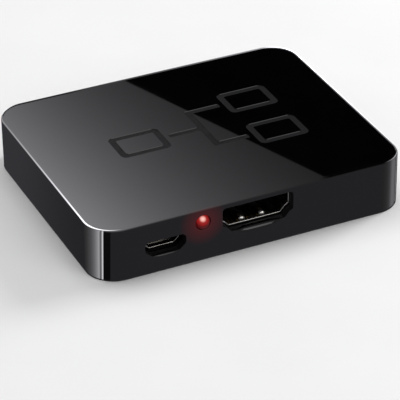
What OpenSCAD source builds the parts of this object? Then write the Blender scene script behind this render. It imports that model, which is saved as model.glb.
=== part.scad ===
// Video splitter: one video input copied to two video outputs, in a flat rounded plastic case.
// Lengths are millimetres. X runs along the socket faces, Y from the input face to the output face,
// and Z is up. The origin is the middle of the underside.

/* [Case] */
// Length of the case along its socket faces
case_length = 64; // [60:0.5:84]
// Depth of the case from the input face to the output face
case_depth = 52; // [48:0.5:80]
// Radius of the upright corners
corner_radius = 5.8; // [4:0.1:8]
// Radius of the rounded top edge
top_edge_radius = 0.5; // [0.2:0.05:0.9]
// Thickness of the side walls
side_wall = 1.6; // [1.2:0.05:2.2]
// Thickness of the top wall
top_wall = 0.9; // [0.8:0.05:2]
// Thickness of the bottom cover's plate
floor_thickness = 1.2; // [0.8:0.05:2]
// Width of the case rim that surrounds the bottom cover
rim_width = 0.8; // [0.5:0.05:1]
// Gap between the bottom cover and the rim
cover_gap = 0.1; // [0.04:0.01:0.2]

/* [Screws] */
// Diameter of a screw's shank
screw_diameter = 1.7; // [1.4:0.05:2.2]
// Length of a screw under its head
screw_length = 6; // [4.5:0.1:7]
// Room past a screw's tip
screw_tip_room = 0.5; // [0.2:0.1:0.9]
// Diameter of a screw's head
head_diameter = 3.5; // [2.8:0.1:4.2]
// Height of a screw's head
head_height = 1.1; // [0.8:0.05:1.4]
// How far a head lies above the underside
head_sink = 0.3; // [0.1:0.05:0.6]
// Width of the cross slots in a head
slot_width = 0.5; // [0.3:0.05:0.7]
// Share of a head's diameter and height that the cross slots take
slot_share = 0.6; // [0.4:0.05:0.75]
// Gap between a screw's head and its pocket
head_pocket_gap = 0.15; // [0.05:0.05:0.3]
// Gap between a screw's shank and the holes it passes through
shank_gap = 0.2; // [0.1:0.05:0.3]
// Thickness of the top cover's posts around a screw
post_wall = 1.1; // [0.8:0.05:1.4]
// Thickness of the bottom cover's pillars around a screw head
pillar_wall = 0.75; // [0.6:0.05:1]
// Gap between a pillar and the side walls
pillar_gap = 1.1; // [0.6:0.1:1.6]

/* [Circuit board] */
// Thickness of the circuit board
board_thickness = 1.2; // [0.8:0.1:1.6]
// Gap between the edge of the board and the side walls
board_gap = 0.4; // [0.2:0.05:0.8]
// Room under the board for soldered legs
under_board_room = 1.5; // [1.4:0.1:4]
// How far soldered legs come out below the board
leg_tail = 0.8; // [0.4:0.1:1.2]
// Gap between a soldered leg and its hole
hole_gap = 0.12; // [0.05:0.01:0.2]

/* [Video sockets] */
// Width of a video socket's mouth
mouth_width = 14; // [13.4:0.05:14.8]
// Height of a video socket's mouth
mouth_height = 4.55; // [4.3:0.05:5]
// Distance from the mouth's side to the end of its flat foot
foot_inset = 1.7; // [1.4:0.05:1.9]
// Distance from the mouth's side to the knee of its shoulder
knee_inset = 0.85; // [0.6:0.05:1]
// Height of the knee above the foot
knee_rise = 1; // [0.8:0.05:1.2]
// Height of the shoulder above the foot
shoulder_rise = 1.5; // [1.35:0.05:1.9]
// Depth of a video socket's shell
shell_depth = 10.8; // [9.5:0.1:12]
// Sheet thickness of a video socket's shell
shell_sheet = 0.3; // [0.2:0.02:0.4]
// Height of a video socket's shell above the board
shell_lift = 0.9; // [0.3:0.05:1.2]
// Gap between a video socket and the top wall
ceiling_gap = 0.15; // [0.05:0.05:0.5]
// Gap between a video socket's mouth and the wall in front of it
mouth_setback = 0.1; // [0.05:0.05:0.3]
// How much wider than the mouth the case opening is, on each side
opening_margin = 0.25; // [0.1:0.05:0.3]
// How much lower than that the case opening reaches under the mouth
opening_drop = 0.25; // [0:0.05:0.4]
// Width of the tongue that carries the contacts
tongue_width = 10.6; // [10:0.1:11.5]
// Thickness of the tongue
tongue_thickness = 1.3; // [1:0.05:1.6]
// Depth of the tongue's tip behind the mouth
tongue_setback = 2.9; // [1.5:0.1:3.2]
// Depth of the insulator's block behind the mouth
block_start = 6.5; // [6:0.1:7.5]
// Thickness of the insulator's flange behind the shell
flange_depth = 1.2; // [0.8:0.1:1.6]
// Contacts in the upper row
upper_contacts = 10; // [6:1:10]
// Contacts in the lower row
lower_contacts = 9; // [5:1:9]
// Spacing of the contacts in one row
contact_pitch = 1; // [0.9:0.02:1.1]
// Width of a contact
contact_width = 0.4; // [0.3:0.02:0.44]
// Sheet thickness of the contacts
contact_sheet = 0.15; // [0.1:0.01:0.2]
// How far a contact stands out of the tongue
contact_proud = 0.03; // [0.02:0.01:0.05]
// Distance from the tongue's tip to the contacts' tips
contact_inset = 0.3; // [0.2:0.05:0.6]
// Length of a contact's soldered foot
contact_foot = 0.9; // [0.6:0.1:1.2]
// Distance between the two contact springs on one side of a shell
spring_spacing = 4.2; // [4:0.1:6]
// Width of a contact spring
spring_width = 1.3; // [1:0.05:1.6]
// Width of the slit around a contact spring
spring_slit = 0.25; // [0.15:0.05:0.4]
// How far a contact spring stands into the mouth
spring_rise = 0.65; // [0.2:0.05:0.7]
// Depth of a spring's tip behind the mouth
spring_tip = 1; // [0.9:0.05:1.6]
// Depth of a spring's crest behind the mouth
spring_crest = 1.7; // [1.7:0.05:3.4]
// Share of the spring's rise that its tip keeps
spring_tip_share = 0.2; // [0.1:0.05:0.8]
// Width of a shell's soldered leg
leg_width = 1.2; // [0.9:0.05:1.6]
// How far a leg runs up the side of the shell
leg_overlap = 1; // [0.6:0.1:1.8]
// Depth of the front legs behind the mouth
front_leg = 1.6; // [1:0.1:3]
// Distance from the back of the shell to the front edge of the rear legs
rear_leg = 3; // [2.4:0.1:4]
// How far the input socket lies off the middle of its face
input_shift = 0.4; // [0:0.05:0.8]
// Distance from an end of the case to the nearer output socket's side, before the shift
output_end_room = 9.4; // [8.8:0.1:12]
// How far the output row lies off the middle of its face
output_shift = 1.25; // [0:0.05:1.4]

/* [Power socket] */
// Width of the power socket's mouth
power_mouth_width = 6.9; // [6.5:0.05:7.4]
// Height of the power socket's mouth
power_mouth_height = 1.85; // [1.7:0.05:2.1]
// Distance from the mouth's side to the end of its flat foot
power_foot_inset = 1; // [0.8:0.05:1.2]
// Height of the mouth's shoulder above its foot
power_shoulder_rise = 0.85; // [0.6:0.05:1]
// Depth of the power socket's shell
power_shell_depth = 5; // [4.5:0.1:6]
// Sheet thickness of the power socket's shell
power_sheet = 0.25; // [0.2:0.01:0.3]
// Height of the power socket's shell above the board
power_lift = 0.1; // [0.05:0.05:0.5]
// Gap between the power socket's mouth and the wall in front of it
power_setback = 0.6; // [0.2:0.05:1]
// How much wider than the mouth the case opening is, on each side
power_opening_margin = 0.65; // [0.4:0.05:0.8]
// Width of the tongue
power_tongue_width = 3.9; // [3.7:0.05:4.2]
// Thickness of the tongue
power_tongue_thickness = 0.6; // [0.5:0.05:0.7]
// Depth of the tongue's tip behind the mouth
power_tongue_setback = 0.4; // [0.2:0.05:0.8]
// Height of the tongue's middle above the mouth's middle
power_tongue_lift = 0.3; // [0.1:0.02:0.32]
// Depth of the insulator's block behind the mouth
power_block_start = 3.4; // [3:0.1:4]
// Thickness of the insulator's flange behind the shell
power_flange_depth = 0.7; // [0.5:0.05:1]
// Contacts under the tongue
power_contacts = 5; // [3:1:5]
// Spacing of the contacts
power_contact_pitch = 0.65; // [0.6:0.01:0.7]
// Width of a contact
power_contact_width = 0.36; // [0.3:0.02:0.4]
// Distance from the tongue's tip to the contacts' tips
power_contact_inset = 0.2; // [0.1:0.05:0.4]
// Width of the slot in the shell's floor that the plug latches into
latch_slot_width = 4.3; // [3:0.1:4.5]
// Depth of the latch slot's front edge behind the mouth
latch_slot_start = 0.5; // [0.4:0.05:0.8]
// Length of the latch slot
latch_slot_length = 0.95; // [0.6:0.05:1.2]
// Width of the shell's soldered leg
power_leg_width = 0.9; // [0.7:0.05:1.1]
// Depth of the front legs behind the mouth
power_front_leg = 0.8; // [0.5:0.1:1.2]
// Distance from the back of the shell to the front edge of the rear legs
power_rear_leg = 1.6; // [1.3:0.1:2]
// Gap between the power socket and the flange of the light beside it
power_socket_gap = 2.1; // [1:0.1:4]

/* [Indicator lights] */
// Diameter of an indicator light's lens
led_diameter = 2.9; // [2.4:0.1:3.4]
// Length of an indicator light from its tip to its base
led_length = 5; // [4.4:0.1:6]
// How far a lens stands out of the case
led_reach = 0.9; // [0.5:0.05:1.3]
// How far the flange at the base is wider than the lens
led_flange = 0.3; // [0.2:0.05:0.4]
// Thickness of the flange
led_flange_depth = 0.8; // [0.6:0.05:1]
// Gap between a lens and its hole in the case
led_hole_gap = 0.06; // [0.03:0.01:0.1]
// Gap between a light's flange and the top wall
led_headroom = 0.75; // [0.6:0.05:1]
// How far the power light stands above the output lights
power_led_lift = 0.55; // [0:0.05:0.6]
// Side of a light's square leads
led_lead_side = 0.45; // [0.35:0.05:0.5]
// Spacing of the two leads as a share of the lens's diameter
led_lead_share = 0.85; // [0.7:0.05:0.9]
// How far the leads run inward before they bend down
led_lead_run = 1.5; // [1:0.1:2.5]
// Gap between the input socket and the power light's flange
led_socket_gap = 2.15; // [1:0.05:3]
// Distance between the two output lights
led_spacing = 5.75; // [5:0.05:7]

/* [Chips] */
// Sheet thickness of the chips' leads
lead_sheet = 0.15; // [0.1:0.01:0.2]
// Length of a lead from the body to its bend
chip_lead_heel = 0.35; // [0.25:0.05:0.5]
// Length of a lead's soldered foot
chip_lead_foot = 0.6; // [0.4:0.05:0.8]
// Gap between a chip's body and the board
chip_lift = 0.1; // [0.05:0.01:0.2]
// Side of the splitter chip's body
chip_side = 10; // [8:0.5:12]
// Height of the splitter chip's body
chip_height = 1.4; // [1:0.1:1.6]
// Leads on each side of the splitter chip
chip_leads_per_side = 16; // [8:1:20]
// Width of one of its leads
chip_lead_width = 0.22; // [0.16:0.02:0.26]
// Distance from a corner of the splitter chip to its first lead
chip_row_margin = 1.2; // [1:0.1:1.5]
// Free room between the splitter chip's leads and its neighbours
parts_room = 3.2; // [2.6:0.1:4]
// Length of the memory chip's body
memory_length = 4.9; // [4.7:0.1:5.2]
// Width of the memory chip's body
memory_width = 3.9; // [3.7:0.1:4.2]
// Height of the memory chip's body
memory_height = 1.5; // [1.2:0.1:1.7]
// Leads on each side of the memory chip
memory_leads_per_side = 4; // [2:1:4]
// Spacing of the memory chip's leads
memory_lead_pitch = 1.27; // [1.2:0.01:1.3]
// Width of one of its leads
memory_lead_width = 0.42; // [0.3:0.02:0.5]

/* [Power supply parts] */
// Free room between neighbouring parts of the power supply
supply_room = 1.5; // [1.3:0.1:1.8]
// Length of the main regulator's body
regulator_length = 6.5; // [6.3:0.1:6.8]
// Width of the main regulator's body
regulator_width = 3.5; // [3.3:0.1:3.7]
// Height of the main regulator's body
regulator_height = 1.6; // [1.4:0.1:1.8]
// Leads of the main regulator opposite its tab
regulator_leads = 3; // [2:1:3]
// Spacing of these leads
regulator_lead_pitch = 2.3; // [2.1:0.1:2.4]
// Width of one of these leads
regulator_lead_width = 0.7; // [0.5:0.05:0.9]
// Width of the tab
regulator_tab_width = 3; // [2.6:0.1:3.4]
// How far the leads and the tab reach from the body
regulator_lead_reach = 1.6; // [1.3:0.1:1.9]
// Length of the core regulator's body
core_length = 2.9; // [2.7:0.1:3.1]
// Width of the core regulator's body
core_width = 1.6; // [1.4:0.1:1.8]
// Height of the core regulator's body
core_height = 1.1; // [0.9:0.1:1.3]
// Spacing of the core regulator's leads
core_lead_pitch = 0.95; // [0.9:0.01:1]
// Width of one of its leads
core_lead_width = 0.4; // [0.3:0.02:0.5]
// Side of the core inductor
inductor_side = 4; // [3.6:0.1:4.4]
// Height of the core inductor
inductor_height = 2; // [1.5:0.1:2.6]
// Bevel at the corners of the core inductor
inductor_bevel = 0.8; // [0.4:0.1:1.2]
// Gap between the input socket and the core inductor
inductor_socket_gap = 4; // [3.5:0.1:5]
// Distance from the board's input edge to the middle of the core inductor
inductor_edge_room = 8; // [7:0.1:9]
// Diameter of the bulk capacitor's can
can_diameter = 5; // [4:0.1:6]
// Height of the bulk capacitor's can
can_height = 4.6; // [3:0.1:4.9]
// Radius of the groove around the can
can_groove = 0.25; // [0.15:0.05:0.35]
// Height of the groove above the foot of the can
can_groove_height = 1; // [0.8:0.1:1.4]
// Height of the bulk capacitor's base
can_base_height = 0.7; // [0.5:0.05:0.9]
// How far the base is wider than the can
can_base_margin = 0.15; // [0.1:0.05:0.3]
// Bevel at the corners of the base
can_base_bevel = 0.9; // [0.5:0.1:1.2]
// Width of the bulk capacitor's leads
can_lead_width = 0.7; // [0.5:0.05:0.9]
// How far these leads reach from the base
can_lead_length = 0.6; // [0.4:0.05:0.9]
// Distance from the board's end to the bulk capacitor
can_edge_room = 1.4; // [1.2:0.1:2]

/* [Crystal] */
// Length of the crystal's can
crystal_length = 11; // [10.5:0.1:11.5]
// Width of the crystal's can
crystal_width = 4.4; // [4:0.1:4.8]
// Height of the crystal's can
crystal_can_height = 3; // [2.5:0.1:3.6]
// Height of the crystal's base
crystal_base_height = 0.5; // [0.4:0.05:0.8]
// How far the base is wider than the can
crystal_base_margin = 0.3; // [0.2:0.05:0.4]
// How far the crystal's leads reach from the base
crystal_lead_length = 1; // [0.6:0.1:1.3]
// Width of the crystal's leads
crystal_lead_width = 0.6; // [0.4:0.05:0.8]

/* [Ceramic capacitors and chip resistors] */
// Length of one part with its end caps
chip_part_length = 1.6; // [1.4:0.1:1.8]
// Width of one part
chip_part_width = 0.8; // [0.6:0.05:0.9]
// Length of an end cap
end_cap_length = 0.3; // [0.2:0.05:0.4]
// Height of a ceramic capacitor
capacitor_height = 0.8; // [0.5:0.05:0.9]
// Height of a chip resistor
resistor_height = 0.45; // [0.3:0.05:0.6]
// Distance from the splitter chip's leads to the capacitors around it
ring_gap = 1.4; // [1.2:0.1:1.6]
// Spread of these capacitors along the chip's side, as a share of that side
ring_share = 0.3; // [0.2:0.05:0.35]
// Distance from a light's leads to its resistor
led_resistor_gap = 1.6; // [1.4:0.1:2.2]
// Distance from the memory chip to its resistors
memory_resistor_gap = 1.2; // [1:0.1:1.6]

/* [Hidden] */
$fn = 64;

// Points along one rounded corner of an outline, and the overrun that keeps cuts clean
arc_steps = 5;
overrun = 1;
// Gap between pieces that are pressed together
fit_gap = 0.02;

// Heights, from the underside up
board_bottom = floor_thickness + under_board_room;
board_top = board_bottom + board_thickness;
shell_height = mouth_height + 2 * shell_sheet;
ceiling = board_top + shell_lift + shell_height + ceiling_gap;
case_height = ceiling + top_wall;

// Faces of the case and edges of the board
face_y = case_depth / 2;
wall_y = face_y - side_wall;
board_half_length = case_length / 2 - side_wall - board_gap;
board_half_depth = wall_y - board_gap;

// Screw bosses: posts in the top cover, pillars in the bottom cover
screw_radius = screw_diameter / 2;
head_radius = head_diameter / 2;
head_seat = head_sink + head_height;
screw_hole_radius = screw_radius + shank_gap;
post_radius = screw_radius + post_wall;
pillar_radius = head_radius + head_pocket_gap + pillar_wall;
boss_inset = side_wall + pillar_gap + pillar_radius;
boss_x = case_length / 2 - boss_inset;
boss_y = case_depth / 2 - boss_inset;

// Video socket outline, from the foot up, and heights above the board
mouth_half = mouth_width / 2;
mouth_radii = [0.4, 0.6, 0.3, 0.45];
shell_half = mouth_half + shell_sheet;
mouth_middle = shell_lift + shell_height / 2;
tongue_top = mouth_middle + tongue_thickness / 2;
tongue_bottom = mouth_middle - tongue_thickness / 2;

// Video socket inside parts, measured from the mouth plane inward
flange_back = shell_depth + flange_depth;
contact_tip = tongue_setback + contact_inset;
spring_root = block_start - shell_sheet;
leg_rows = [front_leg, shell_depth - rear_leg];

// Power socket outline and inside parts
power_half = power_mouth_width / 2;
power_radii = [0.25, 0.2, 0.25];
power_shell_half = power_half + power_sheet;
power_shell_height = power_mouth_height + 2 * power_sheet;
power_middle = power_lift + power_shell_height / 2;
power_tongue_top = power_middle + power_tongue_lift + power_tongue_thickness / 2;
power_tongue_bottom = power_tongue_top - power_tongue_thickness;
power_flange_back = power_shell_depth + power_flange_depth;
power_contact_tip = power_tongue_setback + power_contact_inset;
power_leg_rows = [power_front_leg, power_shell_depth - power_rear_leg];

// Indicator lights
led_radius = led_diameter / 2;
led_flange_radius = led_radius + led_flange;
led_z = ceiling - led_headroom - led_flange_radius;
power_led_z = led_z + power_led_lift;
led_base = led_length - led_reach;
led_lead_spacing = led_diameter * led_lead_share;
led_lead_y = led_base + led_lead_run;

// Where the sockets and lights stand along their faces
output_offset = case_length / 2 - output_end_room - shell_half;
output_1_x = output_offset - output_shift;
output_2_x = -output_offset - output_shift;
output_1_led_x = led_spacing / 2 - output_shift;
output_2_led_x = -led_spacing / 2 - output_shift;
power_led_x = input_shift - shell_half - led_socket_gap - led_flange_radius;
power_x = power_led_x - led_flange_radius - power_socket_gap - power_shell_half;
mouth_y = wall_y - mouth_setback;
power_y = wall_y - power_setback;

// Where the parts stand on the board
chip_lead_reach = chip_lead_heel + chip_lead_foot;
chip_lead_pitch = (chip_side - 2 * chip_row_margin) / (chip_leads_per_side - 1);
neighbour_start = chip_side / 2 + chip_lead_reach + parts_room;
memory_x = -neighbour_start - memory_width / 2 - chip_lead_reach;
crystal_x = neighbour_start + crystal_length / 2;
power_feet = -power_y + power_flange_back + contact_foot;
regulator_y = power_feet + supply_room + regulator_lead_reach + regulator_width / 2;
inductor_x = input_shift + shell_half + inductor_socket_gap + inductor_side / 2;
inductor_y = -board_half_depth + inductor_edge_room;
core_y = inductor_y + inductor_side / 2 + supply_room + core_width / 2 + chip_lead_reach;
can_radius = can_diameter / 2;
can_base_half = can_radius + can_base_margin;
can_x = -board_half_length + can_base_half + can_edge_room;
ring = chip_side / 2 + chip_lead_reach + ring_gap;
ring_step = chip_side * ring_share;
capacitor_spots = [
    for (side = [-1, 1], along = [-1, 1]) [along * ring_step, side * ring, 0],
    for (side = [-1, 1], along = [-1, 1]) [side * ring, along * ring_step, 90],
    [power_x, regulator_y + regulator_width / 2 + regulator_lead_reach + supply_room, 0],
    [inductor_x - inductor_side / 2 - supply_room, inductor_y, 90]
];
led_resistor_y = face_y - led_lead_y - led_lead_side - led_resistor_gap;
resistor_spots = [
    [power_led_x, -led_resistor_y, 0],
    [output_1_led_x, led_resistor_y, 0],
    [output_2_led_x, led_resistor_y, 0],
    for (side = [-1, 1]) [memory_x, side * (memory_length / 2 + memory_resistor_gap), 0]
];

case_black = "#1b1b1d";
plastic_black = "#202022";
steel = "#c9cacc";
gold = "#d0a84a";
tin = "#b9bbbd";
board_black = "#1d201e";
chip_black = "#262626";

// Unit vector, and a vector turned by an angle
function unit(v) = v / norm(v);
function turned(v, angle) = [v.x * cos(angle) - v.y * sin(angle), v.x * sin(angle) + v.y * cos(angle)];

// Points of the arc that rounds one corner of an outline
function corner_arc(before, at, after, radius) =
    let (
        u = unit(before - at),
        v = unit(after - at),
        half_angle = acos(u * v) / 2,
        centre = at + unit(u + v) * radius / sin(half_angle),
        spoke = at + u * radius / tan(half_angle) - centre,
        sweep = -sign(cross(u, v)) * (180 - 2 * half_angle)
    )
    [for (i = [0:arc_steps]) centre + turned(spoke, sweep * i / arc_steps)];

// An outline with each of its corners rounded by its own radius
function rounded(points, radii) =
    let (n = len(points))
    [for (i = [0:n - 1]) each corner_arc(points[(i + n - 1) % n], points[i], points[(i + 1) % n], radii[i])];

// An outline moved outward all round
function grown(points, by) =
    let (n = len(points))
    [for (i = [0:n - 1])
        let (
            a = unit(points[i] - points[(i + n - 1) % n]),
            b = unit(points[(i + 1) % n] - points[i]),
            m = [a.y, -a.x] + [b.y, -b.x]
        )
        points[i] + m * 2 * by / (m * m)];

// Right half of an outline followed by its mirror image
function both_halves(half) = concat(half, [for (i = [len(half) - 1:-1:0]) [-half[i].x, half[i].y]]);
function both_ways(radii) = concat(radii, [for (i = [len(radii) - 1:-1:0]) radii[i]]);

// Mouth of a video socket about its own middle; a drop lowers its foot and shoulders
function video_mouth(drop = 0) =
    let (foot = -mouth_height / 2 - drop)
    rounded(
        both_halves([
            [mouth_half - foot_inset, foot],
            [mouth_half - knee_inset, foot + knee_rise],
            [mouth_half, foot + shoulder_rise],
            [mouth_half, mouth_height / 2]
        ]),
        both_ways(mouth_radii)
    );

// Mouth of the power socket about its own middle
function power_mouth() = rounded(
    both_halves([
        [power_half - power_foot_inset, -power_mouth_height / 2],
        [power_half, -power_mouth_height / 2 + power_shoulder_rise],
        [power_half, power_mouth_height / 2]
    ]),
    both_ways(power_radii)
);

// Side view of a strip that runs level, drops to the board and ends in a foot
function stepped_strip(tip, heel, height, foot, sheet) = [
    [tip, height],
    [heel, height],
    [heel, 0],
    [heel + foot, 0],
    [heel + foot, sheet],
    [heel + sheet, sheet],
    [heel + sheet, height + sheet],
    [tip, height + sheet]
];

// An outline in X and Z drawn out along Y, and one in Y and Z drawn out along X
module along_y(outline, start, end) {
    translate([0, end, 0]) rotate([90, 0, 0]) linear_extrude(end - start) polygon(outline);
}

module along_x(outline, middle, width) {
    translate([middle - width / 2, 0, 0]) rotate([90, 0, 90]) linear_extrude(width) polygon(outline);
}

// A box given by its middle in X and Y and by its lowest and highest Z
module block(x, y, length, width, low, high) {
    translate([x - length / 2, y - width / 2, low]) cube([length, width, high - low]);
}

// The rounded rectangle of the case, drawn in from its outside
module case_outline(inset) {
    radius = corner_radius - inset;
    half_x = case_length / 2 - inset;
    half_y = case_depth / 2 - inset;
    square([2 * half_x, 2 * (half_y - radius)], center = true);
    square([2 * (half_x - radius), 2 * half_y], center = true);
    for (x = [-1, 1], y = [-1, 1]) translate([x * (half_x - radius), y * (half_y - radius)]) circle(radius);
}

// The four screw places
module at_bosses() {
    for (x = [-1, 1], y = [-1, 1]) translate([x * boss_x, y * boss_y, 0]) children();
}

// Places on the two socket faces: a child's own Y runs from the face inward
module on_input(x, y, z) {
    translate([x, -y, z]) children();
}

module on_output(x, y, z) {
    translate([x, y, z]) rotate([0, 0, 180]) children();
}

// Every socket and light opening in the walls
module wall_openings() {
    opening = grown(video_mouth(opening_drop), opening_margin);
    power_opening = grown(power_mouth(), power_opening_margin);
    on_input(input_shift, face_y, board_top + mouth_middle) along_y(opening, -overrun, side_wall + overrun);
    on_output(output_1_x, face_y, board_top + mouth_middle) along_y(opening, -overrun, side_wall + overrun);
    on_output(output_2_x, face_y, board_top + mouth_middle) along_y(opening, -overrun, side_wall + overrun);
    on_input(power_x, face_y, board_top + power_middle) along_y(power_opening, -overrun, side_wall + overrun);
    on_input(power_led_x, face_y, power_led_z) led_opening();
    on_output(output_1_led_x, face_y, led_z) led_opening();
    on_output(output_2_led_x, face_y, led_z) led_opening();
}

module led_opening() {
    translate([0, -overrun, 0]) rotate([-90, 0, 0])
        cylinder(h = side_wall + 2 * overrun, r = led_radius + led_hole_gap);
}

// Case body with a rounded top edge
module case_body() {
    corner_x = case_length / 2 - corner_radius;
    corner_y = case_depth / 2 - corner_radius;
    edge_z = case_height - top_edge_radius;
    linear_extrude(edge_z) case_outline(0);
    linear_extrude(case_height) case_outline(top_edge_radius);
    for (x = [-1, 1], y = [-1, 1]) translate([x * corner_x, y * corner_y, edge_z])
        rotate_extrude() translate([corner_radius - top_edge_radius, 0]) circle(top_edge_radius);
    for (y = [-1, 1]) translate([-corner_x, y * (case_depth / 2 - top_edge_radius), edge_z])
        rotate([0, 90, 0]) cylinder(h = 2 * corner_x, r = top_edge_radius);
    for (x = [-1, 1]) translate([x * (case_length / 2 - top_edge_radius), corner_y, edge_z])
        rotate([90, 0, 0]) cylinder(h = 2 * corner_y, r = top_edge_radius);
}

module top_cover() {
    pilot_top = head_seat + screw_length + screw_tip_room;
    color(case_black) difference() {
        union() {
            difference() {
                case_body();
                translate([0, 0, -overrun]) linear_extrude(floor_thickness + overrun) case_outline(rim_width);
                linear_extrude(ceiling) case_outline(side_wall);
            }
            at_bosses() translate([0, 0, board_top])
                cylinder(h = ceiling - board_top + top_wall / 2, r = post_radius);
        }
        wall_openings();
        at_bosses() translate([0, 0, board_top - overrun])
            cylinder(h = pilot_top - board_top + overrun, r = screw_radius + fit_gap);
    }
}

module bottom_cover() {
    color(plastic_black) difference() {
        union() {
            linear_extrude(floor_thickness) case_outline(rim_width + cover_gap);
            at_bosses() cylinder(h = board_bottom, r = pillar_radius);
        }
        at_bosses() {
            translate([0, 0, -overrun]) cylinder(h = board_bottom + 2 * overrun, r = screw_hole_radius);
            translate([0, 0, -overrun]) cylinder(h = head_seat + overrun, r = head_radius + head_pocket_gap);
        }
    }
}

module case_screws() {
    slot_length = head_diameter * slot_share;
    slot_depth = head_height * slot_share;
    color(steel) at_bosses() difference() {
        union() {
            translate([0, 0, head_sink]) cylinder(h = head_height, r = head_radius);
            translate([0, 0, head_sink]) cylinder(h = head_height + screw_length, r = screw_radius);
        }
        block(0, 0, slot_length, slot_width, 0, head_sink + slot_depth);
        block(0, 0, slot_width, slot_length, 0, head_sink + slot_depth);
    }
}

module circuit_board() {
    color(board_black) difference() {
        translate([0, 0, board_bottom]) linear_extrude(board_thickness) case_outline(side_wall + board_gap);
        at_bosses() translate([0, 0, board_bottom - overrun])
            cylinder(h = board_thickness + 2 * overrun, r = screw_hole_radius);
        on_input(input_shift, mouth_y, board_top) video_legs(hole_gap);
        on_output(output_1_x, mouth_y, board_top) video_legs(hole_gap);
        on_output(output_2_x, mouth_y, board_top) video_legs(hole_gap);
        on_input(power_x, power_y, board_top) power_legs(hole_gap);
        on_input(power_led_x, face_y, 0) led_lead_holes();
        on_output(output_1_led_x, face_y, 0) led_lead_holes();
        on_output(output_2_led_x, face_y, 0) led_lead_holes();
    }
}

module led_lead_holes() {
    half_diagonal = led_lead_side / sqrt(2);
    for (side = [-1, 1])
        translate([side * led_lead_spacing / 2, led_lead_y + led_lead_side / 2, board_bottom - overrun])
            cylinder(h = board_thickness + 2 * overrun, r = half_diagonal + hole_gap);
}

// Soldered legs of a video socket; a gap makes the holes for them
module video_legs(gap) {
    top = shell_lift + shell_sheet + shoulder_rise + leg_overlap;
    for (side = [-1, 1], row = leg_rows)
        block(side * (mouth_half + shell_sheet / 2), row + leg_width / 2, shell_sheet + 2 * gap,
            leg_width + 2 * gap, -board_thickness - leg_tail - gap, top);
}

// Window around one contact spring in the floor of a shell
module spring_window(x) {
    block(x, (spring_tip - spring_slit + spring_root) / 2, spring_width + 2 * spring_slit,
        spring_root - spring_tip + spring_slit, 0, shell_lift + shell_sheet + overrun / 2);
}

// One contact spring, bent up from its root to a crest near the mouth
module contact_spring(x) {
    low = shell_lift;
    crest = low + spring_rise;
    tip = low + spring_rise * spring_tip_share;
    along_x([
        [spring_root + shell_sheet, low],
        [spring_root + shell_sheet, low + shell_sheet],
        [spring_root, low + shell_sheet],
        [spring_crest, crest + shell_sheet],
        [spring_tip, tip + shell_sheet],
        [spring_tip, tip],
        [spring_crest, crest],
        [spring_root, low]
    ], x, spring_width);
}

// The floor's springs or windows, and the same turned over for the roof
module floor_and_roof() {
    children();
    translate([0, 0, 2 * mouth_middle]) mirror([0, 0, 1]) children();
}

module video_shell() {
    difference() {
        translate([0, 0, mouth_middle]) along_y(grown(video_mouth(), shell_sheet), 0, shell_depth);
        translate([0, 0, mouth_middle]) along_y(video_mouth(), -overrun, shell_depth + overrun);
        floor_and_roof() for (side = [-1, 1]) spring_window(side * spring_spacing / 2);
    }
    floor_and_roof() for (side = [-1, 1]) contact_spring(side * spring_spacing / 2);
    video_legs(0);
}

module video_contacts() {
    upper_z = tongue_top + contact_proud - contact_sheet;
    lower_z = tongue_bottom - contact_proud;
    upper = stepped_strip(contact_tip, flange_back, upper_z, contact_foot, contact_sheet);
    lower = stepped_strip(contact_tip, flange_back, lower_z, contact_foot, contact_sheet);
    for (i = [0:upper_contacts - 1])
        along_x(upper, (i - (upper_contacts - 1) / 2) * contact_pitch, contact_width);
    for (i = [0:lower_contacts - 1])
        along_x(lower, (i - (lower_contacts - 1) / 2) * contact_pitch, contact_width);
}

module video_insulator() {
    tongue_end = block_start + overrun;
    difference() {
        union() {
            translate([0, 0, mouth_middle])
                along_y(grown(video_mouth(), -fit_gap), block_start, shell_depth + flange_depth / 2);
            block(0, (tongue_setback + tongue_end) / 2, tongue_width, tongue_end - tongue_setback,
                tongue_bottom, tongue_top);
            block(0, shell_depth + flange_depth / 2 + fit_gap / 2, 2 * shell_half, flange_depth - fit_gap,
                0, shell_lift + shell_height);
        }
        video_contacts();
    }
}

// Soldered legs of the power socket; a gap makes the holes for them
module power_legs(gap) {
    top = power_middle + power_mouth_height / 4;
    for (side = [-1, 1], row = power_leg_rows)
        block(side * (power_half + power_sheet / 2), row + power_leg_width / 2, power_sheet + 2 * gap,
            power_leg_width + 2 * gap, -board_thickness - leg_tail - gap, top);
}

module power_shell() {
    difference() {
        translate([0, 0, power_middle]) along_y(grown(power_mouth(), power_sheet), 0, power_shell_depth);
        translate([0, 0, power_middle]) along_y(power_mouth(), -overrun, power_shell_depth + overrun);
        block(0, latch_slot_start + latch_slot_length / 2, latch_slot_width, latch_slot_length,
            0, power_lift + power_sheet + overrun / 2);
    }
    power_legs(0);
}

module power_socket_strips() {
    strip_z = power_tongue_bottom - contact_proud;
    strip = stepped_strip(power_contact_tip, power_flange_back, strip_z, contact_foot, contact_sheet);
    for (i = [0:power_contacts - 1])
        along_x(strip, (i - (power_contacts - 1) / 2) * power_contact_pitch, power_contact_width);
}

module power_insulator() {
    tongue_end = power_block_start + overrun / 2;
    flange_middle = power_shell_depth + power_flange_depth / 2;
    difference() {
        union() {
            translate([0, 0, power_middle])
                along_y(grown(power_mouth(), -fit_gap), power_block_start, flange_middle);
            block(0, (power_tongue_setback + tongue_end) / 2, power_tongue_width,
                tongue_end - power_tongue_setback, power_tongue_bottom, power_tongue_top);
            block(0, flange_middle + fit_gap / 2, 2 * power_half,
                power_flange_depth - fit_gap, 0, power_lift + power_shell_height);
        }
        power_socket_strips();
    }
}

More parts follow.
